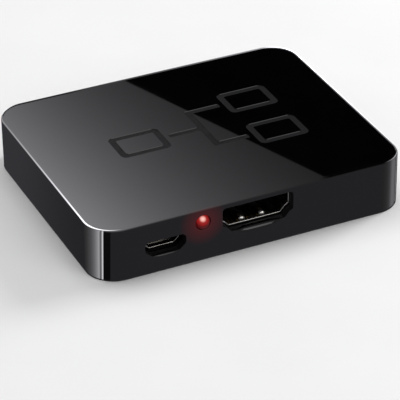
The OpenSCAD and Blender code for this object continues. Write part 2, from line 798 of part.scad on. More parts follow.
// Indicator light: its lens points out of the face, its own Y runs inward
module led_lens() {
    rotate([-90, 0, 0]) {
        translate([0, 0, led_radius - led_reach]) sphere(led_radius);
        translate([0, 0, led_radius - led_reach]) cylinder(h = led_length - led_radius, r = led_radius);
        translate([0, 0, led_base - led_flange_depth]) cylinder(h = led_flange_depth, r = led_flange_radius);
    }
}

module led_leads(height) {
    drop = height - board_bottom + leg_tail;
    for (side = [-1, 1]) {
        block(side * led_lead_spacing / 2, led_base + (led_lead_run + led_lead_side) / 2, led_lead_side,
            led_lead_run + led_lead_side, -led_lead_side / 2, led_lead_side / 2);
        block(side * led_lead_spacing / 2, led_lead_y + led_lead_side / 2, led_lead_side, led_lead_side,
            -drop, led_lead_side / 2);
    }
}

// A row of gull-wing leads on the side of a body that faces Y
module lead_row(count, pitch, width, side_y, height, foot) {
    lead = stepped_strip(side_y, side_y + chip_lead_heel, height, foot, lead_sheet);
    for (i = [0:count - 1]) along_x(lead, (i - (count - 1) / 2) * pitch, width);
}

// Rows of leads on two opposite sides of a body
module two_rows(count, pitch, width, side_y, height) {
    for (turn = [0, 180]) rotate([0, 0, turn])
        lead_row(count, pitch, width, side_y, height, chip_lead_foot);
}

// Small square parts on the board at their spots, or their ends to one side
module chip_parts(spots, length, height, shift) {
    for (spot = spots) translate([spot.x, spot.y, board_top]) rotate([0, 0, spot[2]])
        block(shift, 0, length, chip_part_width, 0, height);
}

module end_caps(spots, height) {
    cap_middle = (chip_part_length - end_cap_length) / 2;
    for (side = [-1, 1]) chip_parts(spots, end_cap_length, height, side * cap_middle);
}

// Moulded body of a chip, held just clear of the board by its leads
module chip_body(x, y, length, width, height) {
    block(x, y, length, width, board_top + chip_lift, board_top + chip_lift + height);
}

module splitter_chip() {
    color(chip_black) chip_body(0, 0, chip_side, chip_side, chip_height);
}

module splitter_chip_leads() {
    color(tin) translate([0, 0, board_top]) for (turn = [0, 90]) rotate([0, 0, turn])
        two_rows(chip_leads_per_side, chip_lead_pitch, chip_lead_width, chip_side / 2, chip_height / 2);
}

module memory_chip() {
    color(chip_black) chip_body(memory_x, 0, memory_width, memory_length, memory_height);
}

module memory_chip_leads() {
    color(tin) translate([memory_x, 0, board_top]) rotate([0, 0, 90])
        two_rows(memory_leads_per_side, memory_lead_pitch, memory_lead_width,
            memory_width / 2, memory_height / 2);
}

module main_regulator() {
    color(chip_black) chip_body(power_x, regulator_y, regulator_length, regulator_width, regulator_height);
}

module main_regulator_leads() {
    foot = regulator_lead_reach - chip_lead_heel;
    color(tin) translate([power_x, regulator_y, board_top]) {
        lead_row(1, 0, regulator_tab_width, regulator_width / 2, regulator_height / 2, foot);
        rotate([0, 0, 180])
            lead_row(regulator_leads, regulator_lead_pitch, regulator_lead_width,
                regulator_width / 2, regulator_height / 2, foot);
    }
}

module core_regulator() {
    color(chip_black) chip_body(inductor_x, core_y, core_length, core_width, core_height);
}

module core_regulator_leads() {
    color(tin) translate([inductor_x, core_y, board_top]) {
        lead_row(2, 2 * core_lead_pitch, core_lead_width, core_width / 2, core_height / 2, chip_lead_foot);
        rotate([0, 0, 180])
            lead_row(3, core_lead_pitch, core_lead_width, core_width / 2, core_height / 2, chip_lead_foot);
    }
}

// A square with its corners cut off
function bevelled_square(half, bevel) = [
    for (turn = [0, 90, 180, 270], end = [-1, 1]) turned([half, end * (half - bevel)], turn)
];

module core_inductor() {
    color(chip_black) translate([inductor_x, inductor_y, board_top])
        linear_extrude(inductor_height) polygon(bevelled_square(inductor_side / 2, inductor_bevel));
}

module crystal_can() {
    end = (crystal_length - crystal_width) / 2;
    color(steel) translate([crystal_x, 0, board_top + crystal_base_height]) {
        linear_extrude(crystal_can_height) {
            square([2 * end, crystal_width], center = true);
            for (side = [-1, 1]) translate([side * end, 0]) circle(crystal_width / 2);
        }
    }
}

module crystal_base() {
    color(plastic_black) block(crystal_x, 0, crystal_length + 2 * crystal_base_margin,
        crystal_width + 2 * crystal_base_margin, board_top, board_top + crystal_base_height);
}

module crystal_leads() {
    color(tin) for (side = [-1, 1])
        block(crystal_x + side * (crystal_length / 2 + crystal_base_margin + crystal_lead_length / 2), 0,
            crystal_lead_length, crystal_lead_width, board_top, board_top + lead_sheet);
}

module bulk_capacitor_can() {
    color(steel) translate([can_x, 0, board_top + can_base_height]) difference() {
        cylinder(h = can_height, r = can_radius);
        translate([0, 0, can_groove_height]) rotate_extrude() translate([can_radius, 0]) circle(can_groove);
    }
}

module bulk_capacitor_base() {
    color(plastic_black) translate([can_x, 0, board_top])
        linear_extrude(can_base_height) polygon(bevelled_square(can_base_half, can_base_bevel));
}

module bulk_capacitor_leads() {
    color(tin) for (side = [-1, 1])
        block(can_x, side * (can_base_half + can_lead_length / 2), can_lead_width, can_lead_length,
            board_top, board_top + lead_sheet);
}

module ceramic_capacitors() {
    color("#8a6a4c")
        chip_parts(capacitor_spots, chip_part_length - 2 * end_cap_length, capacitor_height, 0);
}

module capacitor_end_caps() {
    color(tin) end_caps(capacitor_spots, capacitor_height);
}

module chip_resistors() {
    color("#2b2b2e")
        chip_parts(resistor_spots, chip_part_length - 2 * end_cap_length, resistor_height, 0);
}

module resistor_end_caps() {
    color(tin) end_caps(resistor_spots, resistor_height);
}

module video_in_shell() {
    color(steel) on_input(input_shift, mouth_y, board_top) video_shell();
}

module video_in_insulator() {
    color(plastic_black) on_input(input_shift, mouth_y, board_top) video_insulator();
}

module video_in_contacts() {
    color(gold) on_input(input_shift, mouth_y, board_top) video_contacts();
}

module video_out_1_shell() {
    color(steel) on_output(output_1_x, mouth_y, board_top) video_shell();
}

module video_out_1_insulator() {
    color(plastic_black) on_output(output_1_x, mouth_y, board_top) video_insulator();
}

module video_out_1_contacts() {
    color(gold) on_output(output_1_x, mouth_y, board_top) video_contacts();
}

module video_out_2_shell() {
    color(steel) on_output(output_2_x, mouth_y, board_top) video_shell();
}

module video_out_2_insulator() {
    color(plastic_black) on_output(output_2_x, mouth_y, board_top) video_insulator();
}

module video_out_2_contacts() {
    color(gold) on_output(output_2_x, mouth_y, board_top) video_contacts();
}

module power_socket_shell() {
    color(steel) on_input(power_x, power_y, board_top) power_shell();
}

module power_socket_insulator() {
    color(plastic_black) on_input(power_x, power_y, board_top) power_insulator();
}

module power_socket_contacts() {
    color(gold) on_input(power_x, power_y, board_top) power_socket_strips();
}

module power_led() {
    color("#b3201a") on_input(power_led_x, face_y, power_led_z) led_lens();
}

module power_led_leads() {
    color(tin) on_input(power_led_x, face_y, power_led_z) led_leads(power_led_z);
}

module output_1_led() {
    color("#28b04a") on_output(output_1_led_x, face_y, led_z) led_lens();
}

module output_1_led_leads() {
    color(tin) on_output(output_1_led_x, face_y, led_z) led_leads(led_z);
}

module output_2_led() {
    color("#28b04a") on_output(output_2_led_x, face_y, led_z) led_lens();
}

module output_2_led_leads() {
    color(tin) on_output(output_2_led_x, face_y, led_z) led_leads(led_z);
}

top_cover();
bottom_cover();
case_screws();
circuit_board();
video_in_shell();
video_in_insulator();
video_in_contacts();
video_out_1_shell();
video_out_1_insulator();
video_out_1_contacts();
video_out_2_shell();
video_out_2_insulator();
video_out_2_contacts();
power_socket_shell();
power_socket_insulator();
power_socket_contacts();
power_led();
power_led_leads();
output_1_led();
output_1_led_leads();
output_2_led();
output_2_led_leads();
splitter_chip();
splitter_chip_leads();
memory_chip();
memory_chip_leads();
main_regulator();
main_regulator_leads();
core_regulator();
core_regulator_leads();
core_inductor();
crystal_can();
crystal_base();
crystal_leads();
bulk_capacitor_can();
bulk_capacitor_base();
bulk_capacitor_leads();
ceramic_capacitors();
capacitor_end_caps();
chip_resistors();
resistor_end_caps();
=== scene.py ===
import math
from types import SimpleNamespace

import bmesh
import bpy
from mathutils import Euler, Matrix, Vector


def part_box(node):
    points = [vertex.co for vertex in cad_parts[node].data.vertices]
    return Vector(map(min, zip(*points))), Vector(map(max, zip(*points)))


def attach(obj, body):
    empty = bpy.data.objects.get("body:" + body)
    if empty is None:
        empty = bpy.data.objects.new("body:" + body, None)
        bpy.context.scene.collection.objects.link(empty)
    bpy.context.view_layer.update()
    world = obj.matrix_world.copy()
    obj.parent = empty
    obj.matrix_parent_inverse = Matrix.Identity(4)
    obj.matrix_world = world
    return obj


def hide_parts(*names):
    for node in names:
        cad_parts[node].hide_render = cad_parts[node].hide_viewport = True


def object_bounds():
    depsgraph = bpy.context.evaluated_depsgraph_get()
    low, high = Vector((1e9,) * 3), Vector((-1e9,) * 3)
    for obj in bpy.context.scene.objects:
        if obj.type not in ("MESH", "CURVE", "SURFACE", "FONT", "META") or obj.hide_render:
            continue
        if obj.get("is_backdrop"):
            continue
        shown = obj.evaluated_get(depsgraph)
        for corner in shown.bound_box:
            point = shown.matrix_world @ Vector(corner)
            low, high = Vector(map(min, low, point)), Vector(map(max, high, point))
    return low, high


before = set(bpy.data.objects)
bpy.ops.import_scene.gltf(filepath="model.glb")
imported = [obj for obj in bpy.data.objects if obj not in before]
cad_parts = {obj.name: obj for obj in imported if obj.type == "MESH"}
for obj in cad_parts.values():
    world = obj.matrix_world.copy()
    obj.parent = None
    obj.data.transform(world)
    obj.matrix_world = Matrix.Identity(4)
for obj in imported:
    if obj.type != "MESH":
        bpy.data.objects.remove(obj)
cad_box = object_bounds()
scene = bpy.context.scene

# Pieces are drawn in millimetres and brought to metres when they are finished
MM = 0.001


def box_mm(node):
    """Lowest and highest corner of a solid in millimetres."""
    low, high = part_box(node)
    return low / MM, high / MM


def middle_mm(node):
    low, high = box_mm(node)
    return (low + high) / 2


# Case
CASE_HALF_X, CASE_HALF_Y, CASE_TOP = box_mm("top_cover")[1]
CORNER_RADIUS = 5.8
TOP_EDGE_RADIUS = 0.5
FOOT_EDGE_RADIUS = 0.2
INNER_EDGE_RADIUS = 0.1
SIDE_WALL = 1.6
TOP_WALL = 0.9
CEILING = CASE_TOP - TOP_WALL
RIM_WIDTH = 0.8
RIM_DEPTH = 1.2
CORNER_STEPS = 24
EDGE_STEPS = 8
INNER_EDGE_STEPS = 3

# Screws and the posts they bite into
SCREW_LOW, SCREW_HIGH = box_mm("case_screws")
HEAD_RADIUS = 1.75
HEAD_HEIGHT = 1.1
SHANK_RADIUS = 0.85
POST_RADIUS = 1.95
POST_FOOT = box_mm("circuit_board")[1].z
BOSS_X = SCREW_HIGH.x - HEAD_RADIUS
BOSS_Y = SCREW_HIGH.y - HEAD_RADIUS

# Sockets: half outlines of the mouths from the foot up, about their middle
SHEET = 0.3
SHEET_EDGE = 0.09
MOUTH_HEIGHT = 4.55
MOUTH_HALF = [(5.3, -2.275), (6.15, -1.275), (7, -0.775), (7, 2.275)]
MOUTH_RADII = [0.4, 0.6, 0.3, 0.45]
OPENING_MARGIN = 0.25
OPENING_DROP = 0.25
POWER_SHEET = 0.25
POWER_HEIGHT = 1.85
POWER_HALF = [(2.45, -0.925), (3.45, -0.075), (3.45, 0.925)]
POWER_RADII = [0.25, 0.2, 0.25]
POWER_OPENING_MARGIN = 0.65
OUTLINE_STEPS = 8
CIRCLE_STEPS = 40

# Lips of the openings: the foot's lip is broad over its middle and runs out up the sides. Points up to the
# foot's level count as the foot.
LIP_ROUND, FOOT_LIP_ROUND = 0.05, 1.2
FOOT_LIP_RISE = 0.7
FOOT_LIP_FULL = 1 / 3
FOOT_LEVEL = 0.07
LIP_STEP = 1.0

# Contact springs of a video socket: depths behind the mouth and height above the sheet
SPRING_X = 2.1
SPRING_WIDTH = 1.3
SPRING_SLIT = 0.25
SPRING_TIP, SPRING_CREST, SPRING_ROOT = 1.0, 1.7, 6.2
SPRING_RISE = 0.65
SPRING_TIP_SHARE = 0.2
SPRING_STEPS = 12
SPRING_CROWN = 0.22
SPRING_SUNK = 0.01
SPRINGS = [(across, up) for across in (-SPRING_X, SPRING_X) for up in (-1, 1)]

# Legs of a shell: depths behind the mouth, width, and height of their tops about the mouth's middle
VIDEO_LEGS = (1.6, 7.8), 1.2, 0.2
POWER_LEGS = (0.8, 3.4), 0.9, 0.4

# Slot in the floor of the power socket's shell: depths behind the mouth, and the foot and top of its cutter
# above the floor, in sheets
LATCH_SLOT_HALF = 2.15
LATCH_SLOT = 0.5, 1.45
LATCH_CUT = -2, 1
LATCH_SLOPE = 0.08

# Indicator lights
LENS_RADIUS = 1.45
LENS_LENGTH = 5.0
LENS_REACH = 0.9
LENS_HOLE = 1.51
LENS_FLANGE = 1.75
LENS_FLANGE_DEPTH = 0.8
LENS_FLANGE_EDGE = 0.1
DOME_STEPS = 14

# Lit lights: level and colour of the glow painted into the plastic around them, and the lens's resin and
# shades, which run from a painted highlight to painted shade at the rim
RED = SimpleNamespace(name="red", level=0.045, glow="#ff1a16", resin="#180404",
                      shades=("#ffd2c6", "#f8b4a8", "#9c2322", "#861413", "#420607"))
GREEN = SimpleNamespace(name="green", level=0.07, glow="#10ff48", resin="#041b0b",
                        shades=("#b8ffcc", "#92f2b0", "#178c40", "#147032", "#08421a"))

# Each socket by its face, sheet and mouth height, and each light by its face and colour: the input face is
# -1, the output face +1
SOCKETS = {
    "video_in": (-1, SHEET, MOUTH_HEIGHT),
    "video_out_1": (1, SHEET, MOUTH_HEIGHT),
    "video_out_2": (1, SHEET, MOUTH_HEIGHT),
    "power_socket": (-1, POWER_SHEET, POWER_HEIGHT),
}
VIDEO_SOCKETS = "video_in", "video_out_1", "video_out_2"
LIGHTS = {"power_led": (-1, RED), "output_1_led": (1, GREEN), "output_2_led": (1, GREEN)}

# Meshes: vertices this close are one, edges bent by less than this are smooth, and flat faces have this
# weight in the shading
MERGE_DISTANCE = 0.0005
SMOOTH_BELOW = math.radians(35)
FLAT_FACE_WEIGHT = 100


# Outlines and meshes

def rounded(points, radii, steps=OUTLINE_STEPS):
    """The outline with each corner rounded by its own radius."""
    outline = []
    for i, corner in enumerate(points):
        at = Vector(corner)
        u = (Vector(points[i - 1]) - at).normalized()
        v = (Vector(points[(i + 1) % len(points)]) - at).normalized()
        half = u.angle(v) / 2
        centre = at + (u + v).normalized() * radii[i] / math.sin(half)
        spoke = at + u * radii[i] / math.tan(half) - centre
        sweep = -math.copysign(math.pi - 2 * half, u.cross(v))
        outline += [centre + Matrix.Rotation(sweep * k / steps, 2) @ spoke for k in range(steps + 1)]
    return outline


def grown(outline, by):
    """The outline moved outward all round."""
    moved = []
    for i, point in enumerate(outline):
        a = (point - outline[i - 1]).normalized()
        b = (outline[(i + 1) % len(outline)] - point).normalized()
        out = Vector((a.y + b.y, -a.x - b.x))
        moved.append(point + out * 2 * by / out.length_squared)
    return moved


def divided(outline, longest):
    """The outline with its long edges divided."""
    points = []
    for a, b in zip(outline, outline[1:] + outline[:1]):
        parts = math.ceil((b - a).length / longest)
        points += [a.lerp(b, k / parts) for k in range(parts)]
    return points


def both_sides(half, radii):
    """A rounded outline from its right half."""
    points = half + [(-x, y) for x, y in reversed(half)]
    return rounded(points, radii + radii[::-1])


def rectangle(x, y):
    """Corners of a rectangle about the middle, from the one at the right and back."""
    return [(x, y), (-x, y), (-x, -y), (x, -y)]


def bar(half, low, high, radius, steps=OUTLINE_STEPS):
    """Rounded outline of a bar's section between two heights."""
    return rounded([(half, low), (half, high), (-half, high), (-half, low)], [radius] * 4, steps)


def circle(radius):
    turn = 2 * math.pi / CIRCLE_STEPS
    return [Vector((radius * math.cos(k * turn), radius * math.sin(k * turn))) for k in range(CIRCLE_STEPS)]


def quarter_arc(steps=EDGE_STEPS):
    """Sines and cosines from 0 to 90 degrees."""
    return [(math.sin(math.pi / 2 * k / steps), math.cos(math.pi / 2 * k / steps)) for k in range(steps + 1)]


def eased(value, start, end):
    """Runs smoothly from 0 at the start to 1 at the end."""
    share = min(max((value - start) / (end - start), 0), 1)
    return share * share * (3 - 2 * share)


def on_face(side, x, z):
    """Places a point by its way across the face, its depth behind the face and its height."""
    return lambda across, depth, up: Vector((x - side * across, side * (CASE_HALF_Y - depth), z + up))


def mouth(name):
    """A socket's mouth: a placing of points about its middle, the depths of its shell's ends behind the face,
    and the heights of the legs' ends and the board about the middle."""
    side, sheet, height = SOCKETS[name]
    low, high = box_mm(name + "_shell")
    middle_z = high.z - sheet - height / 2
    return SimpleNamespace(
        spot=on_face(side, (low.x + high.x) / 2, middle_z),
        front=CASE_HALF_Y - max(abs(low.y), abs(high.y)),
        back=CASE_HALF_Y - min(abs(low.y), abs(high.y)),
        legs_end=low.z - middle_z,
        board=POST_FOOT - middle_z,
    )


def at_depth(spot, outline, depth):
    """The outline's points at a depth behind the face."""
    return [spot(p.x, depth, p.y) for p in outline]


def loft(mesh, rings, wrap=False, skip=()):
    """Skins closed rings of points one to the next, leaving out the faces named by ring and place."""
    made = [[mesh.verts.new(point) for point in ring] for ring in rings]
    joined = list(zip(made, made[1:] + made[:1] if wrap else made[1:]))
    for level, (a, b) in enumerate(joined):
        for i in range(len(a)):
            j = (i + 1) % len(a)
            if (level, i) not in skip:
                mesh.faces.new((a[i], a[j], b[j], b[i]))
    return made


def capped(mesh, rings):
    """A closed solid skinned over its rings."""
    made = loft(mesh, rings)
    mesh.faces.new(made[0])
    mesh.faces.new(made[-1])


def strip_rings(spot, path, section, across=0, up=1):
    """Rings of a bent strip: its section carried along a path of depths and heights."""
    rings = []
    for i, (depth, height) in enumerate(path):
        before = Vector(path[max(i - 1, 0)])
        after = Vector(path[min(i + 1, len(path) - 1)])
        run = (after - before).normalized()
        rings.append([spot(across + p.x, depth - run.y * p.y, up * (height + run.x * p.y)) for p in section])
    return rings


def fill(mesh, loops, finish=0):
    """A flat face inside the first loop of vertices, with the other loops as holes."""
    edges = []
    for loop in loops:
        for a, b in zip(loop, loop[1:] + loop[:1]):
            edges.append(mesh.edges.get((a, b)) or mesh.edges.new((a, b)))
    made = bmesh.ops.triangle_fill(mesh, use_beauty=True, edges=edges)
    for item in made["geom"]:
        if isinstance(item, bmesh.types.BMFace):
            item.material_index = finish


def new_object(name, mesh, *finishes):
    """An object in millimetres from a built mesh, faces outward."""
    bmesh.ops.remove_doubles(mesh, verts=mesh.verts, dist=MERGE_DISTANCE)
    bmesh.ops.recalc_face_normals(mesh, faces=mesh.faces)
    for face in mesh.faces:
        face.smooth = True
    for edge in mesh.edges:
        edge.smooth = len(edge.link_faces) == 2 and edge.calc_face_angle() < SMOOTH_BELOW
    data = bpy.data.meshes.new(name)
    mesh.to_mesh(data)
    mesh.free()
    for finish in finishes:
        data.materials.append(finish)
    item = bpy.data.objects.new(name, data)
    scene.collection.objects.link(item)
    return item


def applied(item):
    """The object with its modifiers made part of its mesh."""
    graph = bpy.context.evaluated_depsgraph_get()
    data = bpy.data.meshes.new_from_object(item.evaluated_get(graph))
    item.modifiers.clear()
    item.data = data
    return item


def finished(item, slot, *nodes):
    """Keeps flat faces flat under smooth shading, brings the piece to metres and ties it to the frame."""
    flat = item.modifiers.new("flat_faces", "WEIGHTED_NORMAL")
    flat.weight = FLAT_FACE_WEIGHT
    flat.keep_sharp = True
    applied(item)
    item.data.transform(Matrix.Scale(MM, 4))
    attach(item, "root")
    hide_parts(*nodes)


def cut(item, cutter):
    """Takes the cutter's space out of the object."""
    tool = item.modifiers.new("cut", "BOOLEAN")
    tool.object = cutter
    tool.solver = "EXACT"
    tool.use_self = True
    applied(item)
    bpy.data.objects.remove(cutter)


def take(mesh, item):
    """Moves an object's faces into a mesh being built."""
    mesh.from_mesh(item.data)
    bpy.data.objects.remove(item)


def add_block(mesh, a, b):
    """A box between two opposite corners."""
    low, high = [min(p) for p in zip(a, b)], [max(p) for p in zip(a, b)]
    corners = [(low[0], low[1]), (high[0], low[1]), (high[0], high[1]), (low[0], high[1])]
    capped(mesh, [[(x, y, z) for x, y in corners] for z in (low[2], high[2])])


# Materials
CASE_IOR = 1.45
EPOXY_IOR = 1.54
NOISE_RANGE = 0.3, 0.7
PATCH_DETAIL = 4

# Lit lenses: where the painted highlight (hot spot) lies on the dome, how far its light falls off to the
# painted shade of the rim, the places of the shades, and how far the glow painted on the case reaches
PAINTED_HOT_SPOT = Vector((0.18, 0.66, 0.73)).normalized()
LENS_FALLOFF = 2.2
LENS_SHADES_AT = 0.0, 0.14, 0.32, 0.5, 0.7
PAINTED_GLOW_REACH = 4.8

# Stretch of a metal's fine pattern
ALONG_DEPTH = (1, 0.08, 1)
ALONG_LENGTH = (0.08, 1, 1)
EVENLY = (1, 1, 1)


def linear(hex_colour):
    """Linear red, green, blue and alpha of an sRGB colour."""
    parts = [int(hex_colour[i:i + 2], 16) / 255 for i in (1, 3, 5)]
    return [p / 12.92 if p <= 0.04045 else ((p + 0.055) / 1.055) ** 2.4 for p in parts] + [1]


def add(tree, kind, inputs=(), **settings):
    """Adds a node with its settings, and sets or links its inputs."""
    node = tree.nodes.new(kind)
    for name, value in settings.items():
        setattr(node, name, value)
    for name, value in dict(inputs).items():
        if isinstance(value, bpy.types.NodeSocket):
            tree.links.new(value, node.inputs[name])
        else:
            node.inputs[name].default_value = value
    return node


def new_material(name):
    """An empty material, its tree and its surface coordinates."""
    material = bpy.data.materials.new(name)
    material.use_nodes = True
    tree = material.node_tree
    tree.nodes.clear()
    place = add(tree, "ShaderNodeTexCoord").outputs["Object"]
    return material, tree, place


def surface(tree, **inputs):
    """The shader and the output it feeds; an input's name has underscores for spaces."""
    named = {name.replace("_", " "): value for name, value in inputs.items()}
    shader = add(tree, "ShaderNodeBsdfPrincipled", named)
    add(tree, "ShaderNodeOutputMaterial", {"Surface": shader.outputs[0]})


def noise(tree, place, size_mm, detail):
    """A random pattern with features of this size."""
    pattern = {"Vector": place, "Scale": 1 / (size_mm * MM), "Detail": detail}
    return add(tree, "ShaderNodeTexNoise", pattern).outputs[0]


def ranged(tree, value, start, end, low, high):
    """A number that runs from low to high while the value runs from start to end."""
    ends = {"Value": value, 1: start, 2: end, 3: low, 4: high}
    return add(tree, "ShaderNodeMapRange", ends).outputs[0]


def varied(tree, place, size_mm, low=0, high=1):
    """A number that drifts between two values over patches of this size."""
    return ranged(tree, noise(tree, place, size_mm, PATCH_DETAIL), *NOISE_RANGE, low, high)


def number(tree, operation, *values):
    """What an operation makes of its values."""
    return add(tree, "ShaderNodeMath", enumerate(values), operation=operation).outputs[0]


def distance_from(tree, place, point_mm):
    """Distance in metres from a point given in millimetres."""
    ends = {0: place, 1: point_mm * MM}
    return add(tree, "ShaderNodeVectorMath", ends, operation="DISTANCE").outputs["Value"]


def two_tone(tree, share, first, second):
    """A colour between two, by a share from 0 to 1."""
    mix = add(tree, "ShaderNodeMix", {0: share, 6: linear(first), 7: linear(second)}, data_type="RGBA")
    return mix.outputs[2]


def bumped(tree, height, depth_mm, strength):
    bump = add(tree, "ShaderNodeBump", {"Height": height, "Distance": depth_mm * MM, "Strength": strength})
    return bump.outputs[0]


def lens_centre(node, side):
    """Middle of a lens's dome, in millimetres."""
    middle = middle_mm(node)
    return Vector((middle.x, side * (CASE_HALF_Y + LENS_REACH - LENS_RADIUS), middle.z))


def painted_lens_glow(tree, place):
    """Painted light: the glow of the lit lenses, painted as emission into the plastic facing out around them.
    """
    glow = add(tree, "ShaderNodeCombineXYZ").outputs[0]
    normal = add(tree, "ShaderNodeNewGeometry").outputs["Normal"]
    facing = number(tree, "ABSOLUTE", add(tree, "ShaderNodeSeparateXYZ", {0: normal}).outputs["Y"])
    for light, (side, colour) in LIGHTS.items():
        centre = lens_centre(light, side)
        centre.y = side * CASE_HALF_Y
        away = distance_from(tree, place, centre)
        share = ranged(tree, away, LENS_RADIUS * MM, PAINTED_GLOW_REACH * MM, colour.level, 0.0)
        tinted = {0: linear(colour.glow)[:3], "Scale": number(tree, "MULTIPLY", share, facing)}
        lit = add(tree, "ShaderNodeVectorMath", tinted, operation="SCALE").outputs[0]
        glow = add(tree, "ShaderNodeVectorMath", {0: glow, 1: lit}, operation="ADD").outputs[0]
    return glow


def polished_black_abs(engraved):
    """Polished black ABS from a mirror-finished mould: deep black under sharp reflections, softened a little
    in patches by handling. Around each lit lens the lens's light is painted into the plastic as emission, a
    painted glow on the faces. The engraved lines and the insides of the openings are the same plastic left
    matt."""
    name = "matt_black_abs_moulded_lines" if engraved else "black_abs_mirror_moulded"
    material, tree, place = new_material(name)
    glow = painted_lens_glow(tree, place)
    share = varied(tree, place, 9)
    if engraved:
        grain = bumped(tree, noise(tree, place, 0.35, detail=3), depth_mm=0.02, strength=0.4)
        surface(tree, Base_Color=two_tone(tree, share, "#131314", "#19191b"), IOR=CASE_IOR,
                Roughness=varied(tree, place, 1.5, 0.4, 0.52), Specular_IOR_Level=0.15, Normal=grain,
                Emission_Color=glow, Emission_Strength=1.0)
    else:
        surface(tree, Base_Color=two_tone(tree, share, "#020203", "#040405"), IOR=CASE_IOR,
                Roughness=varied(tree, place, 14, 0.008, 0.025), Emission_Color=glow, Emission_Strength=1.0)
    return material


def rolled_metal(name, first, second, rough_low, rough_high, stretch):
    """Plated, drawn or rolled metal: its roughness varies in a fine pattern, stretched to streaks along the
    way it was drawn. The pattern is about three times as coarse as a real one so that it shows."""
    material, tree, place = new_material(name)
    stretched = add(tree, "ShaderNodeMapping", {"Vector": place, "Scale": stretch}).outputs[0]
    streaks = noise(tree, stretched, 0.15, detail=3)
    surface(tree, Base_Color=two_tone(tree, varied(tree, place, 2.5), first, second), Metallic=1.0,
            Roughness=ranged(tree, streaks, *NOISE_RANGE, rough_low, rough_high),
            Normal=bumped(tree, streaks, depth_mm=0.01, strength=0.15))
    return material


def grained(name, first, second, patch_mm, rough, rough_mm, grain, bump, **inputs):
    """Two tones and a range of roughness, both in patches, over a grain given by its size and detail, with
    its bump by depth in millimetres and strength."""
    material, tree, place = new_material(name)
    surface(tree, Base_Color=two_tone(tree, varied(tree, place, patch_mm), first, second),
            Roughness=varied(tree, place, rough_mm, *rough),
            Normal=bumped(tree, noise(tree, place, *grain), *bump), **inputs)
    return material


def moulded(name, first, second, rough_low, rough_high, grain_mm, depth_mm, gloss=0.5):
    """Moulded or fired compound with a fine grain: small dull highlights and a little unevenness of tone."""
    return grained(name, first, second, patch_mm=8 * grain_mm, rough=(rough_low, rough_high),
                   rough_mm=4 * grain_mm, grain=(grain_mm, 3), bump=(depth_mm, 0.5),
                   Specular_IOR_Level=gloss)


def lit_epoxy_painted_highlight(node, side, colour):
    """Tinted diffusing epoxy of a lit indicator light, given by emission: partly the lens's own glow and
    partly painted light, a pale painted highlight high on the dome that falls off to painted shade in the
    deep colour of the resin at the rim."""
    material, tree, place = new_material(colour.name + "_epoxy_lit_painted_highlight_" + node)
    shades = colour.shades
    toward = Vector((side * PAINTED_HOT_SPOT.x, side * PAINTED_HOT_SPOT.y, PAINTED_HOT_SPOT.z))
    away = distance_from(tree, place, lens_centre(node, side) + toward * LENS_RADIUS)
    ramp = add(tree, "ShaderNodeValToRGB", {0: ranged(tree, away, 0.0, LENS_FALLOFF * MM, 0.0, 1.0)})
    stops = ramp.color_ramp.elements
    stops[0].color = linear(shades[0])
    stops[1].position, stops[1].color = LENS_SHADES_AT[-1], linear(shades[-1])
    for position, shade in zip(LENS_SHADES_AT[1:-1], shades[1:-1]):
        stops.new(position).color = linear(shade)
    tone = two_tone(tree, varied(tree, place, 1.0), colour.resin, shades[-1])
    surface(tree, Base_Color=tone, IOR=EPOXY_IOR, Specular_IOR_Level=0.12,
            Roughness=varied(tree, place, 0.6, 0.25, 0.35),
            Emission_Color=ramp.outputs[0], Emission_Strength=1.0)
    return material


case_gloss = polished_black_abs(False)
engraved_matt = polished_black_abs(True)
# Matt ABS from a spark-eroded mould, whose even grain hides scratches on the underside
base_grain = grained("black_abs_spark_grain", "#161617", "#1e1e20", patch_mm=6, rough=(0.5, 0.65),
                     rough_mm=0.8, grain=(0.4, 2), bump=(0.06, 0.6), IOR=CASE_IOR)
shell_nickel = rolled_metal("steel_strip_nickel_plated", "#b9b6b0", "#c9c6c1", 0.1, 0.2, ALONG_DEPTH)
contact_gold = rolled_metal("phosphor_bronze_gold_flashed", "#8a6a30", "#9c7a3c", 0.25, 0.4, ALONG_DEPTH)
screw_zinc = rolled_metal("steel_wire_black_zinc", "#4a4b4f", "#5d5e62", 0.28, 0.42, EVENLY)
lead_tin = rolled_metal("copper_strip_tinned", "#b4b6b9", "#c6c8ca", 0.25, 0.4, EVENLY)
crystal_steel = rolled_metal("steel_can_drawn", "#b3b4b6", "#c4c5c7", 0.2, 0.34, ALONG_LENGTH)
can_aluminium = rolled_metal("aluminium_can_sleeveless", "#c3c5c8", "#d2d4d6", 0.22, 0.36, EVENLY)
socket_plastic = moulded("liquid_crystal_polymer_moulded", "#070708", "#0c0c0d", 0.4, 0.55, 0.25, 0.02, 0.2)
tongue_plastic = moulded("nylon_moulded_smooth", "#0a0a0b", "#101011", 0.3, 0.4, 0.25, 0.005, 0.3)
board_laminate = moulded("glass_epoxy_board_black_mask", "#050605", "#0a0b0a", 0.35, 0.45, 0.5, 0.01, 0.2)
chip_epoxy = moulded("epoxy_moulding_compound", "#1c1c1d", "#262628", 0.5, 0.65, 0.2, 0.02)
ferrite = moulded("ferrite_sintered", "#2a2a2c", "#373739", 0.55, 0.7, 0.2, 0.03)
capacitor_ceramic = moulded("barium_titanate_fired", "#7d6147", "#937356", 0.4, 0.5, 0.15, 0.01)
resistor_glass = moulded("resistor_overglaze", "#1d1d20", "#29292c", 0.3, 0.4, 0.15, 0.01)


# Case top, with the matt finish in its second slot
MATT = 1


def case_ring(inset, z):
    """The case's rounded rectangle, drawn in and lifted."""
    x, y = CASE_HALF_X - inset, CASE_HALF_Y - inset
    outline = rounded(rectangle(x, y), [CORNER_RADIUS - inset] * 4, CORNER_STEPS)
    return [(p.x, p.y, z) for p in outline]


BACK_SPAN = CORNER_STEPS
FRONT_SPAN = 3 * (CORNER_STEPS + 1) - 1


def wall_corners(lower, upper, span):
    """The four vertices of the flat wall between two corners of the case."""
    following = (span + 1) % len(lower)
    return [lower[span], lower[following], upper[following], upper[span]]


